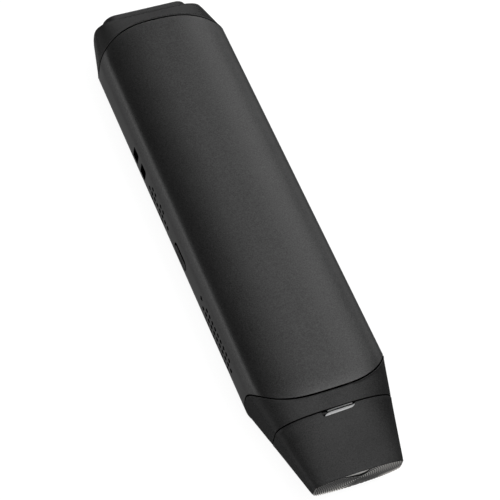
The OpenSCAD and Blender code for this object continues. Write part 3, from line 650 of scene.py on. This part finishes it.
def ventDrill():
    tree = Former("ventDrill", {"Across": "NodeSocketFloat", "Depth": "NodeSocketFloat",
                                "Flare": "NodeSocketFloat", "Turn": "NodeSocketVector",
                                "Material": "NodeSocketMaterial"})
    across, depth = tree.ask("Across"), tree.ask("Depth")
    rod = tree.add("GeometryNodeMeshCylinder", None, {"Vertices": sleeve["ventSides"], "Side Segments": 2,
                                                      "Radius": across / 2, "Depth": depth})
    place = tree.add("GeometryNodeInputPosition")
    z = tree.add("ShaderNodeSeparateXYZ", None, {"Vector": place}, "Z")
    wider = tree.ask("Flare") / across * 2 + 1
    spread = tree.add("ShaderNodeCombineXYZ", None, {"X": wider, "Y": wider, "Z": sleeve["ventOut"]})
    mouth = tree.add("ShaderNodeVectorMath", {"operation": "MULTIPLY"}, {0: place, 1: spread})
    outer = z > depth * 0.25  # of the rod's three rings
    rod = tree.add("GeometryNodeSetPosition", None, {"Geometry": rod, "Selection": outer, "Position": mouth})
    rods = tree.add("GeometryNodeInstanceOnPoints", None,
                    {"Points": tree.ask("Geometry"), "Instance": rod, "Rotation": tree.ask("Turn")})
    return tree.close(rods)


# one rod goes through the wall: its middle ring is a little under the skin, where the flare begins
def ventSpots(y, rows, side):
    x, pitch = side * (halfWidth - sleeve["ventMouth"]), sleeve["ventPitch"]
    middle = (len(rows[1]) - 1) / 2
    spots = []
    for level, picks in zip((1, 0, -1), rows):
        z = sleeve["ventZ"] + level * pitch
        spots += [(x * mm, (y + (c - middle) * pitch) * mm, z * mm) for c in picks]
    return spots


def slotOutline(length, height, corner, steps=8):
    outline = []
    for quarter, (sy, sz) in enumerate(((1, 1), (-1, 1), (-1, -1), (1, -1))):
        for k in range(steps + 1):
            a = math.pi / 2 * (quarter + k / steps)
            outline.append((sy * (length / 2 - corner) + corner * math.cos(a),
                            sz * (height / 2 - corner) + corner * math.sin(a)))
    return outline


# straight through the wall, then flared from just under the skin outwards
def addPlug(work, side, y, z, length, height, corner):
    grow, over = sleeve["flare"], sleeve["over"]
    loops = []
    for x, wider in ((-sleeve["depth"], 0.0), (-grow, 0.0), (over, over + grow)):
        outline = slotOutline(length + 2 * wider, height + 2 * wider, corner + wider)
        loops.append([(side * (halfWidth + x), y + a, z + b) for a, b in outline])
    addSolid(work, loops)


# faces below the skin are marked inside and coloured near black: painted shade in the holes and seams
def markPaintedShade(piece):
    x, y, z = rowsOf(piece.data.polygons, "center").T / mm
    across, up = np.abs(x) / halfWidth, np.abs(z - midZ) / halfHeight
    level = across ** stick["crownPower"] + up ** stick["sidePower"]
    piece.data.attributes.remove(piece.data.attributes["inside"])
    stamp(piece.data, "inside", "FACE", (level < sleeve["skin"]) & (z > sleeve["seam"]))


def makeSleeve():
    edge, gap = sleeve["edge"], sleeve["seam"]
    first, last = {"along": 0.0, "shift": gap}, {"along": 1.0, "shift": -gap}
    rows = [{**first, "inset": sleeve["wall"]}] + rolled(edge, first, 1)
    rows += [{"along": k / sleeve["stations"]} for k in range(1, sleeve["stations"])]
    rows += rolled(edge, last, -1, back=True) + [{**last, "inset": sleeve["wall"]}]
    piece = skin("sleeveShell", rows, sleeveFront, sleeveRear, True, "sleeve_paint")
    drill = ventDrill()
    left = ventSpots(sleeve["frontVentY"], sleeve["frontVents"], -1)
    left += ventSpots(sleeve["rearVentY"], sleeve["rearVents"], -1)
    right = ventSpots(sleeve["frontVentY"], sleeve["frontVents"], 1)
    for name, spots, side in (("leftVents", left, -1), ("rightVents", right, 1)):
        sizes = {"Across": sleeve["ventAcross"] * mm, "Depth": 2 * sleeve["depth"] * mm,
                 "Flare": sleeve["ventFlare"] * mm, "Turn": (0.0, side * math.pi / 2, 0.0),
                 "Material": looks["sleeve_paint"]}
        cut(piece, drill.make(name, plainMesh(name, spots, []), sizes))
    work = bmesh.new()
    for row in sleeve["cuts"].values():
        addPlug(work, *row)
    bmesh.ops.recalc_face_normals(work, faces=work.faces)
    polish(cut(piece, released("sideCuts", work)))
    markPaintedShade(piece)
    seat(piece, "chassis", "sleeve_paint", "outer_sleeve")


makeSleeve()
print("sleeve done")


# the tube by which either end sits in the sleeve, up to its parting edge
spigot = {"inset": 1.6, "wall": 1.2, "length": 11.8}
spigotBore = spigot["inset"] + spigot["wall"]


def spigotRows(y, parting):
    return [bodyRing(spigotBore, y), bodyRing(spigot["inset"], y), {**parting, "inset": spigot["inset"]}]


# front collar: skin from the cap's seam to the sleeve, with the tenon that the cap slides on
collar = {"edge": 0.16, "seam": 0.17, "stations": 10, "wall": 1.6, "tenonInset": 1.35, "tenonWall": 0.9,
          "tenonLength": 4.0, "tenonEdge": 0.2, "plugGap": (14.3, 4.85, 0.3)}


def makeCollar():
    edge, capLength, stations = collar["edge"], stick["capLength"], collar["stations"]
    parting, mouth = {"along": 1.0, "shift": -collar["seam"]}, {"station": capLength}
    rows = spigotRows(frontCurve[0] + spigot["length"], parting) + rolled(edge, parting, -1)
    for k in range(stations - 1, 0, -1):
        rows.append({"along": k / stations, "station": capLength * (1 - k / stations)})
    rows += rolled(edge, mouth, 1, back=True) + [{**mouth, "inset": collar["tenonInset"]}]
    tip = {"station": capLength - collar["tenonLength"], "inset": collar["tenonInset"]}
    bore = {"inset": collar["tenonInset"] + collar["tenonWall"]}
    rows += rolled(collar["tenonEdge"], tip, 1, back=True) + [{**tip, **bore}, {**mouth, **bore}]
    back = capY + collar["wall"]
    rows += [boxRing(*collar["plugGap"], y, midZ, stick["portPower"]) for y in (capY, back)]
    rows += [bodyRing(spigotBore, back)]
    piece = skin("frontCollar", rows, tipOval, sleeveFront, True, "end_plastic")
    seat(piece, "chassis", "end_plastic", "front_collar")


makeCollar()


# pull-off cap: hollow nose with the plate's recess at the tip and a finger notch at its rim
cap = {"edge": 0.16, "rim": 0.2, "recess": 0.8, "seam": 0.2, "wall": 1.1, "floor": 2.2, "tipEdge": 0.1,
       "stations": 14, "lipFront": 0.02, "lipBack": 0.40, "notchLeft": -3.9, "notchRight": 4.45,
       "notchDepth": 1.3, "notchTaper": 0.1, "notchCorners": (0.7, 1.3), "notchSteps": 48, "notchOver": 1.0,
       "notchFoot": 2, "cutAbove": 2, "bevelFall": 0.3, "bevelThick": 0.5, "bevelSlack": 0.05, "flat": 0.7}


# 0 round the upper half of an oval and 1 round the lower half
def lowerShare(angles):
    return np.clip(0.5 - 1.5 * np.sin(angles), 0, 1)


# from left to right, with steps that are finer towards both ends
def spread(left, right, count):
    return left + (right - left) * (1 - np.cos(np.linspace(0, np.pi, count))) / 2


# depth of the notch in front of the seam: blunt at the left, running out at the right
def notchDeep(x):
    deep, half = cap["notchDepth"], (cap["notchRight"] - cap["notchLeft"]) / 2
    ends = ((x - cap["notchLeft"], cap["notchCorners"][0]), (cap["notchRight"] - x, cap["notchCorners"][1]))
    lost = sum(r - np.sqrt(r ** 2 - np.clip(r - end, 0, r) ** 2) for end, r in ends)
    return (deep - lost) * (1 - cap["notchTaper"] * ((x - cap["notchLeft"]) / half - 1))


# part of an outline on one side of a line across Y
def clipped(outline, limit, side):
    part = []
    for (ax, ay), (bx, by) in zip(outline, outline[1:] + outline[:1]):
        if side * (ay - limit) >= 0:
            part.append((ax, ay))
        if (ay - limit) * (by - limit) < 0:
            part.append((ax + (limit - ay) / (by - ay) * (bx - ax), limit))
    return part


# bright lip of the notch: flush at its far edge, sloping down towards the seam, a wedge at its left end
trim = {"across": 48, "deep": 5, "near": 0.58, "least": 0.05, "left": -3.2, "right": 4.2, "slope": 0.28,
        "thick": 0.3, "wedgeFrom": -1.4, "wedgeMore": 0.55}


def makeTrim(level):
    n = trim["across"]
    across = np.linspace(trim["left"], trim["right"], n)
    wedge = np.clip((trim["wedgeFrom"] - across) / (trim["wedgeFrom"] - trim["left"]), 0, 1)
    far = -notchDeep(across)
    near = np.maximum(-trim["near"] - trim["wedgeMore"] * wedge ** 2, far + trim["least"])
    points, faces = [], []
    for k in range(trim["deep"]):
        y = far + (near - far) * k / (trim["deep"] - 1)
        points.extend(zip(across, capY + y, level(far) - trim["slope"] * (y - far)))
    points.extend([(x, y, z - trim["thick"]) for x, y, z in points])
    under = n * trim["deep"]
    for k in range(trim["deep"] - 1):
        for i in range(n - 1):
            a, b = k * n + i, (k + 1) * n + i
            faces += [(a, a + 1, b + 1, b), (under + a, under + b, under + b + 1, under + a + 1)]
        for i in (0, n - 1):
            a, b = k * n + i, (k + 1) * n + i
            faces.append((a, b, under + b, under + a))
    for first in (0, under - n):
        faces.extend((i, i + 1, under + i + 1, under + i) for i in range(first, first + n - 1))
    piece = placed("notchTrim", plainMesh("notchTrim", np.array(points) * mm, faces))
    seat(polish(piece), "cap", "bright_trim", "cap_notch_trim")


# thin leaf that stands out of the collar's front, seen through the notch; its left end sinks into the dark
latch = {"front": 0.28, "back": 0.2, "left": -2.2, "right": 3.85, "sink": 0.47, "lean": 0.2, "crown": 0.3,
         "crownFrom": 1.5, "thick": 0.07, "steps": 24}


def makeLatch(level):
    spots = np.linspace(latch["left"], latch["right"], latch["steps"])

    def top(x, y):
        low = max((latch["crownFrom"] - x) / (latch["crownFrom"] - latch["left"]), 0)
        return level(0.0) - latch["sink"] - latch["lean"] * y - latch["crown"] * low ** 2

    loop = [(x, -latch["front"]) for x in spots] + [(x, latch["back"]) for x in spots[::-1]]
    high = [(x, capY + y, top(x, y)) for x, y in loop]
    piece = solid("latchLeaf", [(x, y, z - latch["thick"]) for x, y, z in high], high)
    seat(polish(piece, crease=30), "chassis", "bright_trim")


# painted shade: the faces that the notch lays bare inside the cap are coloured black
def markNotch(piece, level):
    faces, slack = piece.data.polygons, cap["bevelSlack"]
    x, y, z = rowsOf(faces, "center").T / mm
    steep = rowsOf(faces, "normal")[:, 2] < cap["flat"]
    deep = level(y - capY) - z > cap["bevelThick"] / 2
    notchShadeFaces = (x > cap["notchLeft"] - slack) & (x < cap["notchRight"] + slack)
    notchShadeFaces &= (y > capY - 2 * cap["notchDepth"]) & (z > midZ) & (steep | deep)
    stamp(piece.data, "notch", "FACE", notchShadeFaces)


def makeCap():
    rim = {"station": stick["capLength"] - cap["seam"]}
    lip = {"station": cap["lipFront"] + cap["lipBack"] * lowerShare(turns)}
    rows = [hubRing(tipY + cap["recess"]), {"station": cap["recess"], "inset": cap["rim"]},
            {**lip, "inset": cap["rim"]}]
    rows += rolled(cap["tipEdge"], lip, 1)
    rows += [{"station": rim["station"] * k / cap["stations"]} for k in range(1, cap["stations"])]
    rows += rolled(cap["edge"], rim, -1, back=True) + [{**rim, "inset": cap["wall"]}]
    rows += [{"station": cap["floor"], "inset": cap["wall"]}, hubRing(tipY + cap["floor"])]
    piece = skin("plugCap", rows, tipOval, sleeveFront, False, "end_plastic")
    low, high = (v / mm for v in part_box("cap_notch_trim"))

    def level(y):
        return high.z + noseRise * (capY + y - low.y)  # height of the cap's skin above the notch

    deep, near = cap["notchDepth"], -trim["near"]
    across = spread(cap["notchLeft"], cap["notchRight"], cap["notchSteps"])
    pill = [(x, -y) for x, y in zip(across, notchDeep(across))]
    pill += [(across[-1], cap["notchOver"]), (across[0], cap["notchOver"])]
    notchPart, bevelPart = clipped(pill, near, 1), clipped(pill, near + cap["bevelSlack"], -1)
    for name, part, foot, fall in (
            ("notchCut", notchPart, midZ + cap["notchFoot"], 0.0),
            ("bevelCut", bevelPart, level(-deep) - cap["bevelThick"], cap["bevelFall"])):
        lower = [(x, capY + y, foot - fall * (y + deep)) for x, y in part]
        cut(piece, solid(name, lower, [(x, y, crown + cap["cutAbove"]) for x, y, z in lower]))
    polish(piece)
    markNotch(piece, level)
    seat(piece, "cap", "end_plastic", "plug_cap")
    makeTrim(level)
    makeLatch(level)


makeCap()
print("collar and cap done")


# turned end plate: fine rings that run out over its edge as teeth, a thin flange over the cap's lip
# and a thumb nick in its upper edge
plate = {"pitch": plateLook["ringPitch"] / mm, "groove": 0.3, "perPitch": 4, "around": 600,
         "flange": 0.17, "flangeThick": 0.4, "toothDeep": 0.36, "teethBand": 1.5,
         "teethSpan": (-10.5, -8.5, -4, -0.5, 5, 7.5, 9, 11),
         "teethShare": (0, 0.8, 0.8, 0.1, 0.1, 0.9, 1, 1),
         "rimBand": 0.22, "rimShare": 0.2, "nickLeft": -4.4, "nickTurn": 0.3, "nickRight": 2.25,
         "nickDrop": 2.35, "nickDeep": 0.5, "nickRimDeep": 0.1, "nickBow": 0.65, "nickSteps": 28,
         "nickOver": 1.0, "slack": 0.02, "flat": 0.7}


# distance from the middle to the oval's edge in each direction
def ovalReach(angles, half):
    near, far = np.zeros_like(angles), np.full_like(angles, half[0] + 1)
    for _ in range(40):
        trial = (near + far) / 2
        outside = (np.abs(trial * np.cos(angles) / half[0]) ** stick["tipCrown"]
                   + np.abs(trial * np.sin(angles) / half[1]) ** stick["tipSide"]) > 1
        far, near = np.where(outside, trial, far), np.where(outside, near, trial)
    return near


def ovalHeight(x, half):
    return half[1] * (1 - np.minimum(np.abs(x) / half[0], 1) ** stick["tipCrown"]) ** (1 / stick["tipSide"])


# directions that space points evenly along the oval's edge
def evenAngles(half, count):
    fine = np.linspace(0, 2 * np.pi, 4 * count + 1)
    reach = ovalReach(fine, half)
    steps = np.hypot(np.diff(reach * np.cos(fine)), np.diff(reach * np.sin(fine)))
    run = np.concatenate([[0], np.cumsum(steps)])
    return np.interp(np.arange(count) / count * run[-1], run, fine)


# the nick seen from the front: a long taper at the left and a round end at the right
def nickEdge(x, top):
    left, turn, right = plate["nickLeft"], plate["nickTurn"], plate["nickRight"]
    taper = np.clip((x - left) / (turn - left), 0, 1) ** plate["nickBow"]
    bend = 1 - ((x - turn) / (right - turn)) ** 2
    return top - plate["nickDrop"] * np.where(x < turn, taper, np.sqrt(np.clip(bend, 0, 1)))


def nickOutline(top):
    across = spread(plate["nickLeft"], plate["nickRight"], plate["nickSteps"])
    over = top + plate["nickOver"]
    return list(zip(across, nickEdge(across, top))) + [(plate["nickRight"], over), (plate["nickLeft"], over)]


# floor and walls of the nick, for its painted light and painted shade, and how near each spot is to the lower
# edge or to the upper rim, for painted glints there
def markPlate(piece, low, body, middle):
    mesh, slack = piece.data, plate["slack"]
    x, y, z = rowsOf(mesh.polygons, "center").T / mm
    z = z - middle
    inside = (z > nickEdge(x, body[1]) - slack) & (x > plate["nickLeft"]) & (x < plate["nickRight"] + slack)
    inside &= (y < low.y + plate["nickDeep"] + slack) & (z < ovalHeight(x, body) - slack)
    floor = rowsOf(mesh.polygons, "normal")[:, 1] < -plate["flat"]
    stamp(mesh, "nick", "FACE", np.where(inside, np.where(floor, 1.0, -1.0), 0.0))
    x, y, z = rowsOf(mesh.vertices, "co").T / mm
    height, z = ovalHeight(x, body), z - middle
    side = np.interp(x, plate["teethSpan"], plate["teethShare"])
    teeth = np.clip(1 - (height + z) / plate["teethBand"], 0, 1) * side
    rim = np.clip(1 - (height - z) / plate["rimBand"], 0, 1) * plate["rimShare"]
    stamp(mesh, "teeth", "POINT", np.maximum(teeth, rim))


def makePlate():
    low, high = (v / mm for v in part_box("cap_end_plate"))
    middle = (low.z + high.z) / 2
    body = np.array([high.x - low.x, high.z - low.z]) / 2
    n, pitch = plate["around"], plate["pitch"]
    angles = evenAngles(body, n)
    inner = ovalReach(angles, body)
    edge = inner + (ovalReach(angles, body + plate["flange"]) - inner) * lowerShare(angles)
    step = pitch / plate["perPitch"]
    rings = []
    for r in np.arange(step, edge.max() + step, step):
        reach = np.minimum(r, edge)
        wave = np.abs((reach / pitch + 0.5) % 1 - 0.5) * 2  # 0 in a groove, 1 on a land
        plain = reach * np.sin(angles) > nickEdge(reach * np.cos(angles), body[1]) - pitch / 4
        groove, tooth = plate["groove"] * np.clip(1 - wave * 2, 0, 1), plate["toothDeep"] * (1 - wave)
        rings.append((reach, low.y + np.where(plain, 0, np.where(r < edge, groove, tooth))))
    back = np.full(n, low.y + plate["flangeThick"])
    rings += [(edge, back), (inner, back), (inner, np.full(n, high.y))]
    points = [(0.0, low.y, middle)]
    for reach, y in rings:
        points.extend(zip(reach * np.cos(angles), y, reach * np.sin(angles) + middle))
    points.append((0.0, high.y, middle))
    faces, last = bands(len(rings), n, first=1), 1 + (len(rings) - 1) * n
    for i in range(n):
        j = (i + 1) % n
        faces += [(0, 1 + i, 1 + j), (last + i, last + n, last + j)]
    piece = polish(placed("endPlate", plainMesh("endPlate", np.array(points) * mm, faces)))
    outline, slant = nickOutline(body[1]), (plate["nickDeep"] - plate["nickRimDeep"]) / plate["nickDrop"]
    rim = low.y + plate["nickRimDeep"]
    tool = solid("nickCut", [(x, low.y - plate["nickOver"], z + middle) for x, z in outline],
                 [(x, rim + slant * (body[1] - z), z + middle) for x, z in outline])
    polish(cut(piece, tool), crease=25)
    markPlate(piece, low, body, middle)
    seat(piece, "cap", "spun_plate", "cap_end_plate")


makePlate()


# CAD solid with its edges broken, for the small parts that catch the light
softened = {"videoShell": ("hdmi_plug_shell", "connector_steel", 0.08),
            "videoInsulator": ("hdmi_plug_insulator", "black_plastic", 0.08),
            "rearPortShell": ("rear_usb_shell", "connector_steel", 0.08),
            "rearPortTongue": ("rear_usb_tongue", "black_plastic", 0.12),
            "sidePortShell": ("side_usb_shell", "connector_steel", 0.08),
            "sidePortTongue": ("side_usb_tongue", "black_plastic", 0.12),
            "inletShell": ("power_inlet_shell", "connector_steel", 0.07),
            "inletTongue": ("power_inlet_tongue", "black_plastic", 0.08),
            "jackBody": ("audio_jack", "black_plastic", 0.12)}


def soften(name, node, slot, width):
    work = bmesh.new()
    work.from_mesh(nodes[node].data)
    bmesh.ops.remove_doubles(work, verts=work.verts, dist=1e-6)
    bmesh.ops.dissolve_limit(work, angle_limit=math.radians(1), verts=work.verts, edges=work.edges)
    piece = released(name, work)
    step = piece.modifiers.new("break", "BEVEL")
    step.width, step.segments = width * mm, 2
    step.limit_method, step.angle_limit = "ANGLE", math.radians(30)
    seat(polish(settle(piece), crease=32), "chassis", slot, node)


for name, row in softened.items():
    soften(name, *row)
print("plate and connectors done")


# rear end: skin from the sleeve's edge to the flat end, and the raised block round the port
tail = {"edge": 0.16, "seam": 0.12, "stations": 8, "wall": 2.6, "endEdge": 0.35, "block": (22.7, 6.8, 3.2),
        "blockEdge": 0.3, "blockFoot": 0.25, "blockLean": 1.2, "bendSteps": 4, "support": 1.3,
        "port": (13.3, 5.92, 0.6)}


def makeTail():
    portZ = sum(v.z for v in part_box("rear_usb_shell")) / 2 / mm
    parting, end = {"along": 0.0, "shift": tail["seam"]}, {"along": 1.0}
    rows = spigotRows(rearCurve[0] - spigot["length"], parting) + rolled(tail["edge"], parting, 1)
    rows += [{"along": k / tail["stations"]} for k in range(1, tail["stations"])]
    rows += rolled(tail["endEdge"], end, -1, back=True)
    width, height, corner = tail["block"]
    foot, edge = tail["blockFoot"], tail["blockEdge"]

    def blockRing(grow, y):
        lean = tail["blockLean"] * (halfLength - y) / stick["blockOut"]
        return boxRing(width + 2 * grow, height + lean + 2 * grow, corner + grow, y, portZ + lean / 2,
                       stick["blockPower"])

    bend = [math.pi / 2 * k / tail["bendSteps"] for k in range(tail["bendSteps"] + 1)]
    rows += [blockRing(foot * (1 - math.sin(a)), tailY + foot * (1 - math.cos(a))) for a in bend]
    straight = np.linspace(tailY + tail["support"] * foot, halfLength - tail["support"] * edge, 4)
    rows += [blockRing(0, y) for y in straight]
    rows += [blockRing(edge * (math.cos(a) - 1), halfLength - edge * (1 - math.sin(a))) for a in bend]
    inside = tailY - tail["wall"]
    rows += [boxRing(*tail["port"], y, portZ, stick["portPower"]) for y in (halfLength, inside)]
    rows += [bodyRing(spigotBore, inside)]
    piece = skin("rearEnd", rows, sleeveRear, tailOval, True, "end_plastic")
    seat(piece, "chassis", "end_plastic", "rear_end_cap")


makeTail()


# power button: a pill with a rolled, faintly dished face, its flange and its stem
button = {"length": 7.0, "height": 1.8, "edge": 0.16, "edgeSteps": 5, "dish": 0.05, "dishIn": 1.1,
          "dishShare": 0.4, "hub": 0.05, "below": 0.03, "drop": 0.17, "flange": 0.8, "flangeThick": 0.5,
          "flangeIn": 1.3, "stem": 1.0}


def makeButton():
    low, high = (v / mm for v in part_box("power_button"))
    y, z = (low.y + high.y) / 2, (low.z + high.z) / 2 - button["drop"]
    length, height, edge, hub = button["length"], button["height"], button["edge"], button["hub"]
    face = button["below"] - halfWidth  # just under the side's skin
    levels = [(face + button["dish"], hub, hub), (face + button["dishShare"] * button["dish"],
                                                  length - button["dishIn"], height - button["dishIn"])]
    for k in range(button["edgeSteps"] + 1):
        a = math.pi / 2 * k / button["edgeSteps"]
        draw = 2 * edge * (1 - math.sin(a))
        levels.append((face + edge * (1 - math.cos(a)), length - draw, height - draw))
    lip, stem, step = 2 * button["flange"], 2 * button["stem"], low.x + button["flangeIn"]
    back = step + button["flangeThick"]
    levels += [(step, length, height), (step, length + lip, height + lip), (back, length + lip, height + lip),
               (back, stem, stem), (high.x, stem, stem)]
    loops = []
    for x, wide, tall in levels:
        outline = slotOutline(max(wide, tall), tall, tall / 2, steps=12)
        loops.append([(x, y + a, z + b) for a, b in outline])
    piece = polish(solid("powerButton", *loops))
    # painted shade: the button's flanks are coloured near black, as if in the slot's shade
    deep = rowsOf(piece.data.polygons, "center")[:, 0] / mm > face + edge / 2
    stamp(piece.data, "inside", "FACE", deep)  # the flanks lie in the slot's shade
    seat(piece, "button", "button_plastic", "power_button")


makeButton()
print("rear end and button done")


# rows of equal bars, each with a narrowed tip: plug contacts, port contacts and the heat sink's fins
def barRow():
    tree = Former("barRow", {"Count": "NodeSocketInt", "Step": "NodeSocketVector",
                             "First": "NodeSocketVector", "Size": "NodeSocketVector",
                             "Nip": "NodeSocketFloat", "Material": "NodeSocketMaterial"})
    size = tree.ask("Size")
    line = tree.add("GeometryNodeMeshLine", {"mode": "OFFSET"}, {
        "Count": tree.ask("Count"), "Start Location": tree.ask("First"), "Offset": tree.ask("Step")})
    bar = tree.add("GeometryNodeMeshCube", None,
                   {"Size": size, "Vertices X": 3, "Vertices Y": 6, "Vertices Z": 3})
    place = tree.add("GeometryNodeInputPosition")
    ratio = tree.add("ShaderNodeVectorMath", {"operation": "DIVIDE"}, {0: place, 1: size})
    end = {key: abs(tree.add("ShaderNodeSeparateXYZ", None, {"Vector": ratio}, key)) > 0.45 for key in "XYZ"}
    corner = end["X"] * end["Z"] + end["Y"]  # outermost points only
    draw = 1 - tree.ask("Nip") * corner.least(1.0)
    nip = tree.add("ShaderNodeCombineXYZ", None, {"X": draw, "Y": 1.0, "Z": draw})
    spot = tree.add("ShaderNodeVectorMath", {"operation": "MULTIPLY"}, {0: place, 1: nip})
    bar = tree.add("GeometryNodeSetPosition", None, {"Geometry": bar, "Position": spot})
    return tree.close(tree.add("GeometryNodeInstanceOnPoints", None, {"Points": line, "Instance": bar}))


barMaker = barRow()


def bars(name, count, first, step, size, slot, nip):
    values = {"Count": count, "First": first, "Step": step, "Size": size, "Nip": nip, "Material": looks[slot]}
    return barMaker.make(name, bpy.data.meshes.new(name), values)


def joined(name, pieces):
    work = bmesh.new()
    for piece in pieces:
        work.from_mesh(piece.data)
        bpy.data.objects.remove(piece)
    return polish(released(name, work), crease=30)


contacts = {"plugRows": (10, 9), "plugPitch": 1.0, "plugSize": (0.44, 6.5, 0.15),
            "portSpots": (-3.5, -1, 1, 3.5), "portSize": (1.0, 7.0, 0.2), "nip": 0.12}


def makeContacts():
    low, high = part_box("hdmi_contacts")
    size = [v * mm for v in contacts["plugSize"]]
    pitch, nip, rows = contacts["plugPitch"] * mm, contacts["nip"], []
    for count, z in zip(contacts["plugRows"], (high.z - size[2] / 2, low.z + size[2] / 2)):
        first = (-(count - 1) / 2 * pitch, (low.y + high.y) / 2, z)
        rows.append(bars("plugRow", count, first, (pitch, 0, 0), size, "contact_gold", nip))
    seat(joined("plugContacts", rows), "chassis", "contact_gold", "hdmi_contacts")
    wide, long, thick = (v * mm for v in contacts["portSize"])
    for name, node, size, across in (("rearPortContacts", "rear_usb_contacts", (wide, long, thick), 0),
                                     ("sidePortContacts", "side_usb_contacts", (long, wide, thick), 1)):
        low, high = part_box(node)
        rows = []
        for spot in contacts["portSpots"]:
            first = list((low + high) / 2)
            first[across] += spot * mm
            rows.append(bars("portBar", 1, first, (0, 0, 0), size, "contact_gold", nip))
        seat(joined(name, rows), "chassis", "contact_gold", node)


makeContacts()


# heat sink: a base plate and its fins
sink = {"fins": 9, "finThick": 0.6, "finNip": 0.2, "base": 0.8, "baseNip": 0.02}


def makeSink():
    low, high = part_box("heat_sink")
    size, middle = high - low, (low + high) / 2
    thick, base = sink["finThick"] * mm, sink["base"] * mm
    step = (size.x - thick) / (sink["fins"] - 1)
    rows = [bars("fins", sink["fins"], (low.x + thick / 2, middle.y, middle.z), (step, 0, 0),
                 (thick, size.y, size.z), "sink_metal", sink["finNip"]),
            bars("base", 1, (middle.x, middle.y, low.z + base / 2), (0, 0, 0),
                 (size.x, size.y, base), "sink_metal", sink["baseNip"])]
    seat(joined("heatSink", rows), "chassis", "sink_metal", "heat_sink")


makeSink()
print("contacts and heat sink done")


# every CAD node that still shows gets its finish
kept = {"switch_plunger": "button_plastic", "power_switch": "black_plastic",
        "status_light": "light_pipe", "status_led": "light_pipe", "strap_pocket": "black_plastic",
        "inner_tray": "tray_metal", "main_board": "board_laminate", "board_screws": "connector_steel",
        "processor": "chip_resin", "thermal_pad": "pad_rubber", "memory_chips": "chip_resin",
        "storage_chip": "chip_resin", "wireless_module": "connector_steel", "antenna_plates": "sink_metal",
        "antenna_leads": "lead_rubber", "fan_housing": "black_plastic", "fan_cover": "tray_metal",
        "fan_shaft": "connector_steel", "fan_impeller": "black_plastic"}
for name, slotName in kept.items():
    for spot in nodes[name].material_slots:
        spot.material = looks[slotName]
print("CAD nodes dressed:", len(kept))


# white sweep under the stick; it stays white to the camera and in reflections, and keeps a faint shadow
studio = {"floorSize": 6.0, "floorDrop": 0.02 * mm, "floorTone": 0.82, "toneShift": 0.01, "mottle": 0.02,
          "glow": 0.8, "shine": 1.14, "world": 0.11, "aim": (0, 0, 0.007)}


def makeFloor():
    half, tone, shift = studio["floorSize"] / 2, studio["floorTone"], studio["toneShift"]
    corners = [(-half, -half, 0), (half, -half, 0), (half, half, 0), (-half, half, 0)]
    floor = placed("floor", plainMesh("floor", corners, [(0, 1, 2, 3)]))
    floor.location.z = cadBox[0].z - studio["floorDrop"]
    finish = Finish("floorPaper", Roughness=0.9, Specular_IOR_Level=0.1)
    mottle = finish.speckle(studio["mottle"], 2)
    finish.feed("Base Color", finish.ramp(mottle, (0.3, (tone - shift,) * 3), (0.7, (tone + shift,) * 3)))
    rays = [finish.add("ShaderNodeLightPath", None, None, key)
            for key in ("Is Camera Ray", "Is Glossy Ray", "Is Transmission Ray")]
    seen = rays[0].most(rays[1]).most(rays[2]) * studio["glow"]
    glow = finish.add("ShaderNodeEmission", None, {"Color": (1, 1, 1, 1), "Strength": studio["shine"]})
    paper = Wire(finish.tree, finish.shader.outputs[0])
    mixed = finish.add("ShaderNodeMixShader", None, {0: seen, 1: paper, 2: glow})
    finish.put(finish.tree.nodes["Material Output"].inputs["Surface"], mixed)
    floor.data.materials.append(finish.material)


makeFloor()

lamps = {"rightTop": {"from": (0.56, 0.50, 0.60), "size": (0.6, 0.6), "power": 0.84},
         "rightMid": {"from": (0.46, 0.47, 0.70), "size": (0.35, 0.35), "power": 0.67},
         "rightLow": {"from": (0.80, 0.42, 0.20), "size": (0.6, 0.35), "power": 1.1},
         "leftLow": {"from": (-0.80, 0.42, 0.13), "size": (0.8, 0.26), "power": 0.56},
         "leftUp": {"from": (-0.76, 0.42, 0.32), "size": (0.8, 0.22), "power": 1.05},
         "over": {"from": (0.27, -0.11, 0.86), "size": (0.62, 0.24), "power": 2.85},
         "overLeft": {"from": (-0.10, -0.11, 0.90), "size": (0.25, 0.24), "power": 0.58},
         "overRight": {"from": (0.58, -0.11, 0.70), "size": (0.25, 0.24), "power": 0.42},
         "backLow": {"from": (0.29, 0.90, 0.24), "size": (0.7, 0.40), "power": 4.65},
         "frontTop": {"from": (-0.20, -0.80, 0.65), "size": (0.9, 0.9), "power": 5.15}}
for name, lamp in lamps.items():
    light = bpy.data.lights.new(name, "AREA")
    light.shape, light.energy = "RECTANGLE", lamp["power"]
    light.size, light.size_y = lamp["size"]
    holder = placed(name, light)
    holder.location = lamp["from"]
    aim = Vector(studio["aim"]) - holder.location
    holder.rotation_euler = aim.to_track_quat("-Z", "Y").to_euler()

world = bpy.data.worlds.new("studio")
world.use_nodes = True
backdrop = world.node_tree.nodes["Background"].inputs
backdrop["Color"].default_value = (1, 1, 1, 1)
backdrop["Strength"].default_value = studio["world"]
scene.world = world

# camera at the photograph's place, worked out from the stick's known length
view = {"at": (-0.135363, -0.210942, 0.378848), "turn": (32.7689, -7.2297, -22.2158), "lens": 134.116,
        "sensor": 36.0, "near": 0.01}
camera = placed("camera", bpy.data.cameras.new("camera"))
camera.location = view["at"]
camera.rotation_euler = Euler([math.radians(a) for a in view["turn"]], "XYZ")
camera.data.lens, camera.data.sensor_width = view["lens"], view["sensor"]
camera.data.clip_start = view["near"]
scene.camera = camera
scene.view_settings.view_transform = "Standard"
print("studio ready")
